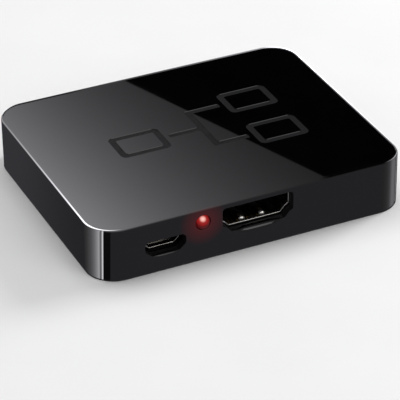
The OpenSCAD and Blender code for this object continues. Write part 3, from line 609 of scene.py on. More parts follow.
def add_opening(mesh, spot, outline, foot_round):
    """A hole through a wall, matt inside, with a polished rounded lip that is broader at its foot's middle;
    gives its outer and inner loop."""
    outline = divided(outline, LIP_STEP)
    foot = min(p.y for p in outline)
    half = max(abs(p.x) for p in outline if p.y < foot + FOOT_LEVEL)
    ways_out = [after - p for p, after in zip(outline, grown(outline, 1))]
    lips = []
    for p in outline:
        low = 1 - eased(p.y, foot, foot + FOOT_LIP_RISE)
        broad = low * (1 - eased(abs(p.x), half * FOOT_LIP_FULL, half))
        lips.append(LIP_ROUND + (foot_round - LIP_ROUND) * broad)
    rings = []
    for sine, cosine in quarter_arc():
        lip_line = [p + way * lip * (1 - sine) for p, way, lip in zip(outline, ways_out, lips)]
        rings.append([spot(p.x, lip * (1 - cosine), p.y) for p, lip in zip(lip_line, lips)])
    rings.append(at_depth(spot, outline, SIDE_WALL))
    made = loft(mesh, rings)
    for vertex in made[-1]:
        for face in vertex.link_faces:
            face.material_index = MATT
    return made[0], made[-1]


def openings():
    """Every opening: its face, its place on that face, its outline and the rounding of its lip's foot."""
    lowered = [(x, z - OPENING_DROP) for x, z in MOUTH_HALF[:-1]] + MOUTH_HALF[-1:]
    video = grown(both_sides(lowered, MOUTH_RADII), OPENING_MARGIN)
    for name in VIDEO_SOCKETS:
        yield SOCKETS[name][0], mouth(name).spot, video, FOOT_LIP_ROUND
    power = grown(both_sides(POWER_HALF, POWER_RADII), POWER_OPENING_MARGIN)
    yield -1, mouth("power_socket").spot, power, FOOT_LIP_ROUND / 2
    for name in LIGHTS:
        side, middle = LIGHTS[name][0], middle_mm(name)
        yield side, on_face(side, middle.x, middle.z), circle(LENS_HOLE), LIP_ROUND


# One frame on the left feeds two frames on the right, drawn in lines let into the top
LINE_WIDTH = 1.3
LINE_DEPTH = 0.08
LINE_SLOPE = 0.06
FRAME_HALF_X, FRAME_HALF_Y = 5.2, 4.0
FRAME_RADIUS = 1.2
FRAME_RADIUS_FALL = 0.6
SOURCE_AT = Vector((-11.5, 1.0))
SCREENS_AT = [Vector((14.5, 7.6)), Vector((14.5, -5.6))]
FORK_X = 1.6
FORK_GAP = 0.9
FORK_RADIUS = 0.25
FORK_STEPS = 4


def frame_outline(at, inset):
    """Outline of one frame, drawn in by a step, its corners getting tighter."""
    corners = rectangle(FRAME_HALF_X - inset, FRAME_HALF_Y - inset)
    return [p + at for p in rounded(corners, [FRAME_RADIUS - inset * FRAME_RADIUS_FALL] * 4)]


def fork_outline():
    """Outline of the line that leaves the source and forks to the two screens."""
    half = LINE_WIDTH / 2
    start = SOURCE_AT.x + FRAME_HALF_X + FORK_GAP
    end = SCREENS_AT[0].x - FRAME_HALF_X - FORK_GAP
    drop = SCREENS_AT[1].y - SOURCE_AT.y
    left, right = FORK_X - half, FORK_X + half
    lower = [(start, -half), (left, -half), (left, drop - half), (end, drop - half), (end, drop + half),
             (right, drop + half)]
    points = lower + [(x, -y) for x, y in reversed(lower)]
    return [p + Vector((0, SOURCE_AT.y)) for p in rounded(points, [FORK_RADIUS] * len(points), FORK_STEPS)]


def let_in(mesh, outline, slope):
    """A sloping step down from the top along an outline; gives its upper and lower loop."""
    steps = [(outline, CASE_TOP), (grown(outline, slope), CASE_TOP - LINE_DEPTH)]
    return loft(mesh, [[(p.x, p.y, z) for p in ring] for ring, z in steps])


def add_top_lines(mesh):
    """Sinks the lines into the top; gives the loops that bound the plain top around them."""
    bounds = []
    for at in [SOURCE_AT] + SCREENS_AT:
        outer = let_in(mesh, frame_outline(at, 0), -LINE_SLOPE)
        inner = let_in(mesh, frame_outline(at, LINE_WIDTH), LINE_SLOPE)
        fill(mesh, [outer[1], inner[1]], MATT)
        fill(mesh, [inner[0]])
        bounds.append(outer[0])
    fork = let_in(mesh, fork_outline(), -LINE_SLOPE)
    fill(mesh, [fork[1]], MATT)
    bounds.append(fork[0])
    return bounds


def make_case_top():
    mesh = bmesh.new()
    rings = [(SIDE_WALL, CEILING), (SIDE_WALL, RIM_DEPTH), (RIM_WIDTH, RIM_DEPTH)]
    r = INNER_EDGE_RADIUS
    rings += [(RIM_WIDTH - r * (1 - c), r * (1 - s)) for s, c in quarter_arc(INNER_EDGE_STEPS)]
    rings += [(FOOT_EDGE_RADIUS * (1 - s), FOOT_EDGE_RADIUS * (1 - c)) for s, c in quarter_arc()]
    outer_foot = len(rings) - 1
    edge_z = CASE_TOP - TOP_EDGE_RADIUS
    rings += [(TOP_EDGE_RADIUS * (1 - c), edge_z + TOP_EDGE_RADIUS * s) for s, c in quarter_arc()]
    walls = [(level, span) for level in (0, outer_foot) for span in (FRONT_SPAN, BACK_SPAN)]
    made = loft(mesh, [case_ring(inset, z) for inset, z in rings], skip=walls)
    fill(mesh, [made[0]])
    loops = {(level, side): [] for level in (0, outer_foot) for side in (-1, 1)}
    for side, spot, outline, foot_round in openings():
        outer, inner = add_opening(mesh, spot, outline, foot_round)
        loops[outer_foot, side].append(outer)
        loops[0, side].append(inner)
    for (level, side), holes in loops.items():
        span = FRONT_SPAN if side < 0 else BACK_SPAN
        fill(mesh, [wall_corners(made[level], made[level + 1], span)] + holes)
    fill(mesh, [made[-1]] + add_top_lines(mesh))
    post = [(SHANK_RADIUS, POST_FOOT), (POST_RADIUS, POST_FOOT),
            (POST_RADIUS, CEILING), (SHANK_RADIUS, CEILING)]
    for x, y in rectangle(BOSS_X, BOSS_Y):
        loft(mesh, [[(x + p.x, y + p.y, z) for p in circle(radius)] for radius, z in post], wrap=True)
    finished(new_object("case_top", mesh, case_gloss, engraved_matt), "case_gloss", "top_cover")


make_case_top()


# Sockets

def add_tube(mesh, at, outline, sheet):
    """A shell's tube of sheet metal, its front edge broken by a small round on both sides."""
    r = SHEET_EDGE
    profile = [(0.0, at.back)] + [(r * (1 - c), at.front + r * (1 - s)) for s, c in quarter_arc()]
    profile += [(sheet - r * (1 - s), at.front + r * (1 - c)) for s, c in quarter_arc()] + [(sheet, at.back)]
    loft(mesh, [at_depth(at.spot, grown(outline, by), depth) for by, depth in profile], wrap=True)


def add_legs(mesh, at, across, sheet, legs):
    """Soldered legs down both sides of a shell."""
    depths, width, top = legs
    for side in (-1, 1):
        for depth in depths:
            a = at.spot(side * across, at.front + depth, top)
            b = at.spot(side * (across + sheet), at.front + depth + width, at.legs_end)
            add_block(mesh, a, b)


def spring_path(front):
    """Depths and heights of a contact spring above the sheet: a rounded nose, a crest and a long slope."""
    nose = [(SPRING_CREST - (SPRING_CREST - SPRING_TIP) * c, SPRING_TIP_SHARE + (1 - SPRING_TIP_SHARE) * s)
            for s, c in quarter_arc()]
    slope = []
    for k in range(1, SPRING_STEPS + 1):
        share = k / SPRING_STEPS
        depth = SPRING_CREST + (SPRING_ROOT + SHEET / 2 - SPRING_CREST) * share
        slope.append((depth, (1 + math.cos(math.pi * share)) / 2))
    return [(front + depth, SPRING_RISE * rise) for depth, rise in nose + slope]


def add_spring(mesh, at, across, up):
    """One contact spring bent from the floor (up is 1) or the roof (up is -1) of a shell."""
    half = SPRING_WIDTH / 2
    crown = [half * (1 - k / EDGE_STEPS) for k in range(2 * EDGE_STEPS + 1)]
    section = [Vector((half, 0))] + [Vector((x, SHEET - SPRING_CROWN * (x / half) ** 2)) for x in crown]
    section.append(Vector((-half, 0)))
    level = MOUTH_HEIGHT / 2 + SHEET + SPRING_SUNK
    path = [(depth, height - level) for depth, height in spring_path(at.front)]
    capped(mesh, strip_rings(at.spot, path, section, across, up))


def spring_windows(at):
    """Cutter for the windows around the springs."""
    windows = bmesh.new()
    wide = SPRING_WIDTH / 2 + SPRING_SLIT
    for across, up in SPRINGS:
        a = at.spot(across - wide, at.front + SPRING_TIP - SPRING_SLIT, up * (MOUTH_HEIGHT / 2 - SHEET))
        b = at.spot(across + wide, at.front + SPRING_ROOT, up * (MOUTH_HEIGHT / 2 + 2 * SHEET))
        add_block(windows, a, b)
    return windows


def latch_slot(at):
    """Cutter for the slot in the power socket's floor, its back edge sloping."""
    slot = bmesh.new()
    x = LATCH_SLOT_HALF
    near, far = at.front + LATCH_SLOT[0], at.front + LATCH_SLOT[1]
    rings = []
    for sheets in LATCH_CUT:
        back = far + (sheets + 1) * LATCH_SLOPE
        height = sheets * POWER_SHEET - POWER_HEIGHT / 2
        rings.append([at.spot(*corner, height) for corner in ((-x, near), (x, near), (x, back), (-x, back))])
    capped(slot, rings)
    return slot


def make_shell(name, half, radii, legs, cutter, springs=()):
    """A socket's shell: the tube with its windows or slot, its springs and its legs."""
    node = name + "_shell"
    at, sheet = mouth(name), SOCKETS[name][1]
    mesh = bmesh.new()
    add_tube(mesh, at, both_sides(half, radii), sheet)
    item = new_object(node + "_sheet", mesh, shell_nickel)
    cut(item, new_object(node + "_cutter", cutter(at)))
    mesh = bmesh.new()
    take(mesh, item)
    for across, up in springs:
        add_spring(mesh, at, across, up)
    add_legs(mesh, at, half[-1][0], sheet, legs)
    finished(new_object(node + "_formed", mesh, shell_nickel), "shell_steel", node)


# Power socket's insulator, by depth behind the mouth and height above the mouth's middle
POWER_TONGUE_HALF = 1.95
POWER_TONGUE = 0.0, 0.6
POWER_TONGUE_TIP = 0.4
POWER_TONGUE_ROUND = 0.14
POWER_NOSE_SHARE = 0.98
POWER_BLOCK = 3.4, 5.35
POWER_FLANGE = 5.02, 5.7
POWER_FIT = 0.02


def make_power_insulator():
    """The tongue with its rounded nose, the block that fills the shell's back, and the flange behind it."""
    at = mouth("power_socket")
    r = POWER_TONGUE_ROUND
    mesh = bmesh.new()
    section = bar(POWER_TONGUE_HALF, *POWER_TONGUE, r)
    nose = [(-r * (1 - s), POWER_TONGUE_TIP + r * (1 - c)) for s, c in quarter_arc()][:-1]
    steps = nose + [(0, POWER_TONGUE_TIP + r), (0, POWER_BLOCK[0] + POWER_FIT)]
    tongue = [(grown(section, by * POWER_NOSE_SHARE), depth) for by, depth in steps]
    block = grown(both_sides(POWER_HALF, POWER_RADII), -POWER_FIT)
    flange = bar(POWER_HALF[-1][0], at.board, POWER_HEIGHT / 2 + POWER_SHEET, r)
    for piece in (tongue, [(block, d) for d in POWER_BLOCK], [(flange, d) for d in POWER_FLANGE]):
        capped(mesh, [at_depth(at.spot, outline, at.front + depth) for outline, depth in piece])
    item = new_object("power_socket_insulator_moulded", mesh, tongue_plastic)
    finished(item, "socket_plastic", "power_socket_insulator")


for name in VIDEO_SOCKETS:
    make_shell(name, MOUTH_HALF, MOUTH_RADII, VIDEO_LEGS, spring_windows, SPRINGS)
make_shell("power_socket", POWER_HALF, POWER_RADII, POWER_LEGS, latch_slot)
make_power_insulator()


# Copies of one shape, placed by geometry nodes

def grid_tree():
    """Repeats a shape on a grid about the middle, each copy turned by its own share of the greatest turn;
    gives the keys of its inputs as well."""
    tree = bpy.data.node_groups.new("copies", "GeometryNodeTree")
    kinds = {"Shape": "Geometry", "Width": "Float", "Depth": "Float", "Columns": "Int", "Rows": "Int",
             "Turn": "Float", "Seed": "Int", "Finish": "Material"}
    keys = {}
    for title, kind in kinds.items():
        socket = tree.interface.new_socket(title, in_out="INPUT", socket_type="NodeSocket" + kind)
        keys[title] = socket.identifier
    tree.interface.new_socket("Copies", in_out="OUTPUT", socket_type="NodeSocketGeometry")
    given = add(tree, "NodeGroupInput").outputs
    grid = {0: given["Width"], 1: given["Depth"], 2: given["Columns"], 3: given["Rows"]}
    points = add(tree, "GeometryNodeMeshGrid", grid).outputs[0]
    turn = add(tree, "FunctionNodeRandomValue", {2: 0.0, 3: given["Turn"], "Seed": given["Seed"]}).outputs[1]
    turned = add(tree, "ShaderNodeCombineXYZ", {"Z": turn}).outputs[0]
    placed = {"Points": points, "Instance": given["Shape"], "Rotation": turned}
    copies = add(tree, "GeometryNodeInstanceOnPoints", placed).outputs[0]
    solid = add(tree, "GeometryNodeRealizeInstances", {0: copies}).outputs[0]
    finish = {"Geometry": solid, "Material": given["Finish"]}
    add(tree, "NodeGroupOutput", {0: add(tree, "GeometryNodeSetMaterial", finish).outputs[0]})
    return tree, keys


COPIES, COPIES_KEYS = grid_tree()


def repeated(item, **values):
    """The object repeated on a grid with these values."""
    grid = item.modifiers.new("copies", "NODES")
    grid.node_group = COPIES
    for title, value in values.items():
        grid[COPIES_KEYS[title]] = value
    return applied(item)


# Contacts: one strip, repeated along its row
CONTACT_SHEET = 0.15
CONTACT_PROUD = 0.03
CONTACT_BEND = 0.12
CONTACT_FOOT = 0.9
CONTACT_EDGE_STEPS = 2
TONGUE_HALF = 0.65

# Rows of contacts by their height about the mouth's middle and their count
VIDEO_ROWS = [(TONGUE_HALF + CONTACT_PROUD - CONTACT_SHEET, 10), (-TONGUE_HALF - CONTACT_PROUD, 9)]
POWER_ROWS = [(-CONTACT_PROUD, 5)]


def bent_path(tip, heel, height, board):
    """Depths and heights of a contact: level along the tongue, down to the board, and out to its foot."""
    bend = CONTACT_BEND
    return [(tip, height - bend), (tip + bend, height), (heel - bend, height), (heel, height - bend),
            (heel, board + bend), (heel + bend, board), (heel + CONTACT_FOOT, board)]


def make_contacts(name, rows, tip, heel, width, pitch):
    """The contacts of one socket; tip and heel are depths behind the mouth."""
    node = name + "_contacts"
    at = mouth(name)
    section = bar(width / 2, 0, CONTACT_SHEET, CONTACT_SHEET / 4, CONTACT_EDGE_STEPS)
    mesh = bmesh.new()
    for height, count in rows:
        path = bent_path(at.front + tip, at.front + heel, height, at.board)
        strip = bmesh.new()
        capped(strip, strip_rings(at.spot, path, section))
        item = new_object(node + "_row", strip)
        grid = {"Width": (count - 1) * pitch, "Depth": 0.0, "Columns": count, "Rows": 1, "Turn": 0.0}
        take(mesh, repeated(item, **grid, Finish=contact_gold))
    finished(new_object(node + "_formed", mesh, contact_gold), "contact_gold", node)


for name in VIDEO_SOCKETS:
    make_contacts(name, VIDEO_ROWS, tip=3.2, heel=12.0, width=0.4, pitch=1.0)
make_contacts("power_socket", POWER_ROWS, tip=0.6, heel=5.7, width=0.36, pitch=0.65)


# Indicator lights

def make_light(node, side, finish, slot):
    middle = middle_mm(node)
    spot = on_face(side, middle.x, middle.z)
    dome = LENS_RADIUS - LENS_REACH
    base = LENS_LENGTH - LENS_REACH
    flange = base - LENS_FLANGE_DEPTH
    profile = [(LENS_RADIUS * s, dome - LENS_RADIUS * c) for s, c in quarter_arc(DOME_STEPS)[1:]]
    profile += [(LENS_RADIUS, flange), (LENS_FLANGE - LENS_FLANGE_EDGE, flange),
                (LENS_FLANGE, flange + LENS_FLANGE_EDGE), (LENS_FLANGE, base)]
    mesh = bmesh.new()
    made = loft(mesh, [at_depth(spot, circle(radius), depth) for radius, depth in profile])
    tip = mesh.verts.new(spot(0, -LENS_REACH, 0))
    for a, b in zip(made[0], made[0][1:] + made[0][:1]):
        mesh.faces.new((a, b, tip))
    mesh.faces.new(made[-1])
    finished(new_object(node + "_lens", mesh, finish), slot, node)


# Lenses lit by emission: their own glow, with a painted highlight and painted shade at the rim
for light, (side, colour) in LIGHTS.items():
    make_light(light, side, lit_epoxy_painted_highlight(light, side, colour), "lens_" + colour.name)


# Screws: one screw, repeated at the four corners
HEAD_CROWN = 0.3
HEAD_RINGS = 3
CROWN_STEPS = 5
POINT_LENGTH = 0.6
POINT_RADIUS = 0.4
SCREW_SEED = 4

# Cross recess: half sizes of one arm, and the arm's share at depths below the head's face
ARM_LONG, ARM_WIDE = 1.05, 0.25
ARM_SHARES = [(1.0, -0.2), (0.7, 0.66)]


def make_screws():
    """Pan-head screws with a cross recess, heads down in the underside."""
    head = SCREW_LOW.z
    seat = head + HEAD_HEIGHT
    flat = HEAD_RADIUS - HEAD_CROWN
    profile = [(flat * k / HEAD_RINGS, head) for k in range(1, HEAD_RINGS + 1)]
    profile += [(HEAD_RADIUS - HEAD_CROWN * (1 - s), head + HEAD_CROWN * (1 - c))
                for s, c in quarter_arc(CROWN_STEPS)[1:]]
    profile += [(HEAD_RADIUS, seat), (SHANK_RADIUS, seat),
                (SHANK_RADIUS, SCREW_HIGH.z - POINT_LENGTH), (POINT_RADIUS, SCREW_HIGH.z)]
    mesh = bmesh.new()
    capped(mesh, [[(p.x, p.y, z) for p in circle(radius)] for radius, z in profile])
    screw = new_object("case_screws_cross", mesh, screw_zinc)
    recess = bmesh.new()
    for arm in ((ARM_LONG, ARM_WIDE), (ARM_WIDE, ARM_LONG)):
        capped(recess, [[(x * share, y * share, head + depth) for x, y in rectangle(*arm)]
                        for share, depth in ARM_SHARES])
    cut(screw, new_object("cross_recess", recess))
    repeated(screw, Width=2 * BOSS_X, Depth=2 * BOSS_Y, Columns=2, Rows=2, Turn=math.pi / 2,
             Seed=SCREW_SEED, Finish=screw_zinc)
    finished(screw, "screw_steel", "case_screws")


make_screws()


# Solids that keep their shape: finishes by the end of the solid's name
KEPT = {
    "bottom_cover": base_grain, "circuit_board": board_laminate, "_insulator": socket_plastic,
    "_base": socket_plastic, "_chip": chip_epoxy, "_regulator": chip_epoxy, "_leads": lead_tin,
    "_end_caps": lead_tin, "core_inductor": ferrite, "crystal_can": crystal_steel,
    "bulk_capacitor_can": can_aluminium, "ceramic_capacitors": capacitor_ceramic,
    "chip_resistors": resistor_glass,
}
for node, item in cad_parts.items():
    for ending, finish in KEPT.items():
        if node.endswith(ending):
            item.data.materials.clear()
            item.data.materials.append(finish)


# Camera, placed as the photograph's was, in millimetres and degrees; the focus is in pixels of the frame
CAMERA_AT = Vector((-166.3937, -363.9387, 240.9236))
CAMERA_TURN = 58.50092, 0.6603, -25.04271
CAMERA_FOCUS = 2402.8
FRAME_PIXELS = 400
SENSOR = 36
CAMERA_CLIP = 0.01

camera_data = bpy.data.cameras.new("camera")
camera_data.sensor_width = SENSOR
camera_data.lens = CAMERA_FOCUS * SENSOR / FRAME_PIXELS
camera_data.clip_start = CAMERA_CLIP
camera = bpy.data.objects.new("camera", camera_data)
turn = Euler([math.radians(angle) for angle in CAMERA_TURN]).to_matrix().to_4x4()
camera.matrix_world = Matrix.Translation(CAMERA_AT * MM) @ turn
scene.collection.objects.link(camera)
scene.camera = camera


# Floor and light, in metres
FLOOR_HALF = 4
STUDIO_GREY = 0.3


def add_stage(name, points, faces, material):
    """A mesh that belongs to the stage."""
    data = bpy.data.meshes.new(name)
    data.from_pydata(points, [], faces)
    data.materials.append(material)
    item = bpy.data.objects.new(name, data)
    scene.collection.objects.link(item)
    item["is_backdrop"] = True
    return item


def make_floor():
    """Matt pale paper sweep."""
    material, tree, place = new_material("paper_sweep")
    colour = two_tone(tree, varied(tree, place, 40), "#f5f5f5", "#f9f9f9")
    surface(tree, Base_Color=colour, Roughness=varied(tree, place, 25, 0.7, 0.8), Specular_IOR_Level=0.2)
    corners = [(x, y, 0) for x, y in rectangle(FLOOR_HALF, FLOOR_HALF)]
    add_stage("floor", corners, [(0, 1, 2, 3)], material)


def softbox(name, toward, distance, size, radiance, in_polish=True):
    """A square soft light that faces the object from a direction."""
    data = bpy.data.lights.new(name, "AREA")
    data.size = size
    data.energy = radiance * math.pi * size ** 2
    lamp = bpy.data.objects.new(name, data)
    toward = Vector(toward).normalized()
    lamp.location = toward * distance
    lamp.rotation_euler = toward.to_track_quat("Z", "Y").to_euler()
    lamp.visible_glossy = in_polish
    scene.collection.objects.link(lamp)


# Grey, white and black cards stand around the case and show only in its polish. They lie where the camera's
# view of the input side is mirrored to, and twins half a turn round serve the output side.
INPUT_SIDE, OUTPUT_SIDE = -1, 1
TOP_TINT, SIDE_TINT = linear("#fbfaff"), linear("#f4f2ff")
UP = Vector((0, 0, 1))
FACING_LEAST = 0.05


def reflection_card(name, rows, side, tint):
    """A lit card that only shows in reflections, from rows of points with a brightness each."""
    material, tree = new_material(name)[:2]
    level = add(tree, "ShaderNodeAttribute", attribute_name="level").outputs["Fac"]
    glow = add(tree, "ShaderNodeEmission", {"Color": tint, "Strength": level})
    add(tree, "ShaderNodeOutputMaterial", {"Surface": glow.outputs[0]})
    columns = len(rows[0])
    firsts = [i for i in range(columns * (len(rows) - 1)) if (i + 1) % columns]
    faces = [(i, i + 1, i + columns + 1, i + columns) for i in firsts]
    points = [(-side * p.x * MM, -side * p.y * MM, p.z * MM) for row in rows for p, level in row]
    card = add_stage(name, points, faces, material)
    levels = [level for row in rows for p, level in row]
    card.data.attributes.new("level", "FLOAT", "POINT").data.foreach_set("value", levels)
    for rays in ("camera", "diffuse", "shadow", "transmission"):
        setattr(card, "visible_" + rays, False)


def mirrored(at, normal):
    """Direction in which the camera's view of a point of the case is mirrored, and the share that is."""
    view = (at - CAMERA_AT).normalized()
    facing = max(-view.dot(normal), FACING_LEAST)
    bent = math.sqrt(1 - (1 - facing ** 2) / CASE_IOR ** 2)
    across = (facing - CASE_IOR * bent) / (facing + CASE_IOR * bent)
    along = (CASE_IOR * facing - bent) / (CASE_IOR * facing + bent)
    return view + 2 * facing * normal, (across ** 2 + along ** 2) / 2


def between(stops, at):
    """The value at a place, straight from stop to stop."""
    for (start, low), (end, high) in zip(stops, stops[1:]):
        if at < end:
            return low + (high - low) * (at - start) / (end - start)
    return stops[-1][1]


# The top mirrors a grey wedge that ends in a straight slanting edge, black beyond it. Past the left end of
# the case the grey fades out. The cards run on past the top's front and back by a share of its depth.
TOP_CARD_Y = 160
EDGE_FAR, EDGE_NEAR = Vector((-4.33, 25.5)), Vector((14.45, -26))
WEDGE_WIDTH = 75
WEDGE_STEPS = 24
WEDGE_FADE = 25
CARD_OVERLAP = 3
PLAIN_GREY = 0.012
WEDGE_BEYOND = 0.35

# Logarithm of the grey at the top's middle, and how it changes along X and Y
GREY_LOG, GREY_LOG_X, GREY_LOG_Y = -3.503, -0.0552, -0.0069


def wedge_edge(y):
    """Where the slanting edge crosses the top at a depth."""
    return EDGE_NEAR.x + (EDGE_FAR.x - EDGE_NEAR.x) * (y - EDGE_NEAR.y) / (EDGE_FAR.y - EDGE_NEAR.y)


def grey_look(x, y):
    """Brightness of the top's grey part at a point of it."""
    fade = 1 - eased(-x, CASE_HALF_X, CASE_HALF_X + WEDGE_FADE)
    return max(math.exp(GREY_LOG + GREY_LOG_X * x + GREY_LOG_Y * y) * fade, PLAIN_GREY)


def top_card(side, name, depth, first, last, look):
    """The card that the top mirrors between two distances from the slanting edge."""
    rows = []
    for row in range(WEDGE_STEPS + 1):
        along = (1 + 2 * WEDGE_BEYOND) * row / WEDGE_STEPS - WEDGE_BEYOND
        y = EDGE_NEAR.y + (EDGE_FAR.y - EDGE_NEAR.y) * along
        cells = []
        for column in range(WEDGE_STEPS + 1):
            at = Vector((wedge_edge(y) + first + (last - first) * column / WEDGE_STEPS, y, CASE_TOP))
            ray, share = mirrored(at, UP)
            cells.append((at + ray * (depth - y) / ray.y, look(at.x, y) / share))
        rows.append(cells)
    reflection_card(name, rows, side, TOP_TINT)


# Places around the case by the middle of a corner's arc, or a point as far inside the wall, and the way out
# in degrees from the left (0) over the front (90) to the right
ARC_X, ARC_Y = CASE_HALF_X - CORNER_RADIUS, CASE_HALF_Y - CORNER_RADIUS
FIRST_TURN, LAST_TURN = -24, 156
LEFT_STEPS, FRONT_STEPS = 12, 24
LEFT = [(-ARC_X, ARC_Y, turn) for turn in range(FIRST_TURN, 0, 3)]
LEFT += [(-ARC_X, ARC_Y * (1 - 2 * k / LEFT_STEPS), 0) for k in range(LEFT_STEPS)]
NEAR_CORNER = [(-ARC_X, -ARC_Y, turn) for turn in range(90)]
FRONT = [(ARC_X * (2 * k / FRONT_STEPS - 1), -ARC_Y, 90) for k in range(FRONT_STEPS)]
RIGHT_CORNER = [(ARC_X, -ARC_Y, turn) for turn in range(90, LAST_TURN + 1, 2)]
AROUND = LEFT + NEAR_CORNER + FRONT + RIGHT_CORNER

# Brightness of the walls: grey on the left, a band with a white and a black line on the near corner, dark in
# front, a lighter band with a line on the right corner
LEFT_LOOK, LEFT_LOOK_RISE, LEFT_RISE_Y = 0.019, 0.0165, (-22, 18)
FRONT_LOOK, FRONT_LOOK_FROM = 0.0165, 60
NEAR_LOOK = [
    (0, 0.021), (10, 0.034), (20, 0.063), (25, 0.092), (30, 0.139), (35, 0.218), (40.4, 0.348), (40.7, 0.12),
    (44.6, 0.12), (44.9, 0.55), (47.5, 0.55), (47.8, 0.003), (60.7, 0.003), (61, FRONT_LOOK),
]
RIGHT_LOOK = [
    (90, FRONT_LOOK), (95, FRONT_LOOK), (103, 0.024), (110, 0.042), (115, 0.09), (118, 0.125), (128, 0.13),
    (129, 0.03), (131, 0.03), (132.5, 0.18), (137, 0.2), (138, 0.05),
]


def outward(turn):
    return Vector((-math.cos(math.radians(turn)), -math.sin(math.radians(turn)), 0))


def plain_look(turn, y):
    """Brightness of the walls without the corners' lines."""
    left = LEFT_LOOK + LEFT_LOOK_RISE * eased(y, *LEFT_RISE_Y)
    return left + (FRONT_LOOK - left) * eased(turn, 0, FRONT_LOOK_FROM)


# The flat walls mirror a card on the floor
FLOOR_CARD_Z = {INPUT_SIDE: 0.15, OUTPUT_SIDE: 0.1}


def floor_card(side):
    """The card on the floor that the walls mirror."""
    rows = []
    for x, y, turn in AROUND:
        out = outward(turn)
        cells = []
        for height in (FLOOR_CARD_Z[side], CASE_TOP - TOP_EDGE_RADIUS):
            at = Vector((x, y, height)) + out * CORNER_RADIUS
            ray, share = mirrored(at, out)
            cells.append((at + ray * (FLOOR_CARD_Z[side] - height) / ray.z, plain_look(turn, y) / share))
        rows.append(cells)
    reflection_card("floor_card", rows, side, SIDE_TINT)


# The corners and the rounded top edge mirror strips close to them. Lines on the near corner stand upright for
# the camera, so on the corner they lean by a few degrees from foot to top.
STRIP_AWAY = 0.25
STRIP_FOOT = 0.25
LINE_LEAN = 1.7


def corner_strip(side, name, arc_x, stops, lean):
    """The strip that a corner mirrors."""
    rows = []
    places = {turn for turn, level in stops} | set(range(stops[0][0], math.floor(stops[-1][0])))
    for turn in sorted(places):
        cells = []
        for height in (STRIP_FOOT, CASE_TOP - TOP_EDGE_RADIUS):
            out = outward(turn - lean * (1 - 2 * height / CASE_TOP))
            at = Vector((arc_x, -ARC_Y, height)) + out * CORNER_RADIUS
            ray, share = mirrored(at, out)
            cells.append((at + ray * STRIP_AWAY / ray.dot(out), between(stops, turn) / share))
        rows.append(cells)
    reflection_card(name, rows, side, TOP_TINT)


# The white line on the rounded edge grows along the left to the near corner and dies away past it, and comes
# back on the right corner
EDGE_START, EDGE_STEPS_DOWN = 3, 29
LEFT_WHITE, LEFT_WHITE_Y, LEFT_WHITE_GROWTH = 0.2, 16, 18.7
NEAR_WHITE, NEAR_WHITE_ENDS = 1.3, (42, 88)
RIGHT_WHITE, RIGHT_WHITE_STARTS = 0.5, (95, 135)

# Lean of the line's middle by turn, its fade on both sides, its narrowing round the near corner, and the lean
# over which the top's look gives way to the wall's
WHITE_LEAN = [(0, 52), (90, 25), (91, 45)]
WHITE_FADE = 11, 22
WHITE_NARROWING, WHITE_NARROWS = 0.55, (5, 50)
TOP_TO_WALL = 35, 80


def edge_white(turn, y):
    """Brightness of the white line."""
    if turn <= 0:
        return LEFT_WHITE * math.exp((LEFT_WHITE_Y - y) / LEFT_WHITE_GROWTH)
    if turn <= 90:
        return NEAR_WHITE * (1 - eased(turn, *NEAR_WHITE_ENDS))
    return RIGHT_WHITE * eased(turn, *RIGHT_WHITE_STARTS)


def edge_look(x, y, turn, lean):
    """Brightness of the rounded edge: the top's look eases into the wall's, with the white line between."""
    top = grey_look(x, y) if x < wedge_edge(y) else 0.0
    wall = plain_look(turn, y)
    if 0 < turn < 90:
        wall = between(NEAR_LOOK, max(turn - LINE_LEAN, 0))
    if turn > 90:
        wall = between(RIGHT_LOOK, turn)
    spread = 1 - WHITE_NARROWING * eased(turn, *WHITE_NARROWS)
    away = abs(lean - between(WHITE_LEAN, max(turn, 0)))
    white = edge_white(turn, y) * (1 - eased(away, WHITE_FADE[0] * spread, WHITE_FADE[1] * spread))
    return top + (wall - top) * eased(lean, *TOP_TO_WALL) + white


def on_edge(x, y, turn, lean):
    """Point and normal of the rounded edge at a lean in degrees from the top."""
    out = outward(turn)
    middle = Vector((x, y, CASE_TOP - TOP_EDGE_RADIUS)) + out * (CORNER_RADIUS - TOP_EDGE_RADIUS)
    normal = out * math.sin(math.radians(lean)) + UP * math.cos(math.radians(lean))
    return middle + normal * TOP_EDGE_RADIUS, normal


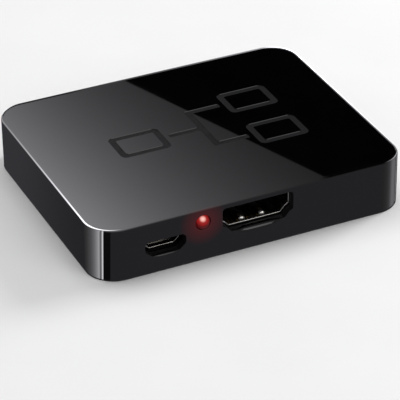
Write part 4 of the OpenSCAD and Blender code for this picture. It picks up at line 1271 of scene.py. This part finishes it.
def edge_strip(side):
    """The strip that the rounded edge mirrors."""
    rows = []
    for place in AROUND:
        cells = []
        for step in range(EDGE_STEPS_DOWN + 1):
            lean = EDGE_START + (90 - EDGE_START) * step / EDGE_STEPS_DOWN
            at, normal = on_edge(*place, lean)
            ray, share = mirrored(at, normal)
            cells.append((at + ray * STRIP_AWAY, edge_look(at.x, at.y, place[2], lean) / share))
        rows.append(cells)
    reflection_card("edge_strip", rows, side, TOP_TINT)


# Distances from the case and levels of the skirt
SKIRT_Z = 0.05
SKIRT = (0.1, 0.2), (12, 0.3), (30, 0.4), (60, 0.6), (100, 0.85)


def skirt_card():
    """Darkens the floor around the case in its polish, fading out with distance."""
    rows = []
    for away, level in SKIRT:
        points = [Vector(p) for p in case_ring(-away, SKIRT_Z)]
        rows.append([(p, level) for p in points + points[:1]])
    reflection_card("skirt_card", rows, INPUT_SIDE, SIDE_TINT)


make_floor()
for side in (INPUT_SIDE, OUTPUT_SIDE):
    top_card(side, "wedge_card", TOP_CARD_Y, -WEDGE_WIDTH, 0, grey_look)
    top_card(side, "black_card", TOP_CARD_Y + 1, -CARD_OVERLAP, WEDGE_WIDTH, lambda x, y: 0.0)
    floor_card(side)
    corner_strip(side, "near_corner_strip", -ARC_X, NEAR_LOOK, LINE_LEAN)
    corner_strip(side, "right_corner_strip", ARC_X, RIGHT_LOOK, 0)
    edge_strip(side)
skirt_card()
KEY = {"toward": (0.88, 0.12, 0.46), "distance": 0.8, "size": 0.35}
softbox("key", **KEY, radiance=8.5, in_polish=False)
softbox("key_glint", **KEY, radiance=2.5)
softbox("front_fill", toward=(0.36, -0.75, 0.55), distance=0.8, size=0.4, radiance=2.2)
softbox("overhead", toward=(-0.1, 0.3, 0.95), distance=1.2, size=1.0, radiance=1.9, in_polish=False)

world = bpy.data.worlds.new("studio")
world.use_nodes = True
scene.world = world
world.node_tree.nodes["Background"].inputs["Color"].default_value = [STUDIO_GREY] * 3 + [1]

scene.view_settings.view_transform = "Standard"

[[list(corner) for corner in box] for box in (cad_box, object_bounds())]
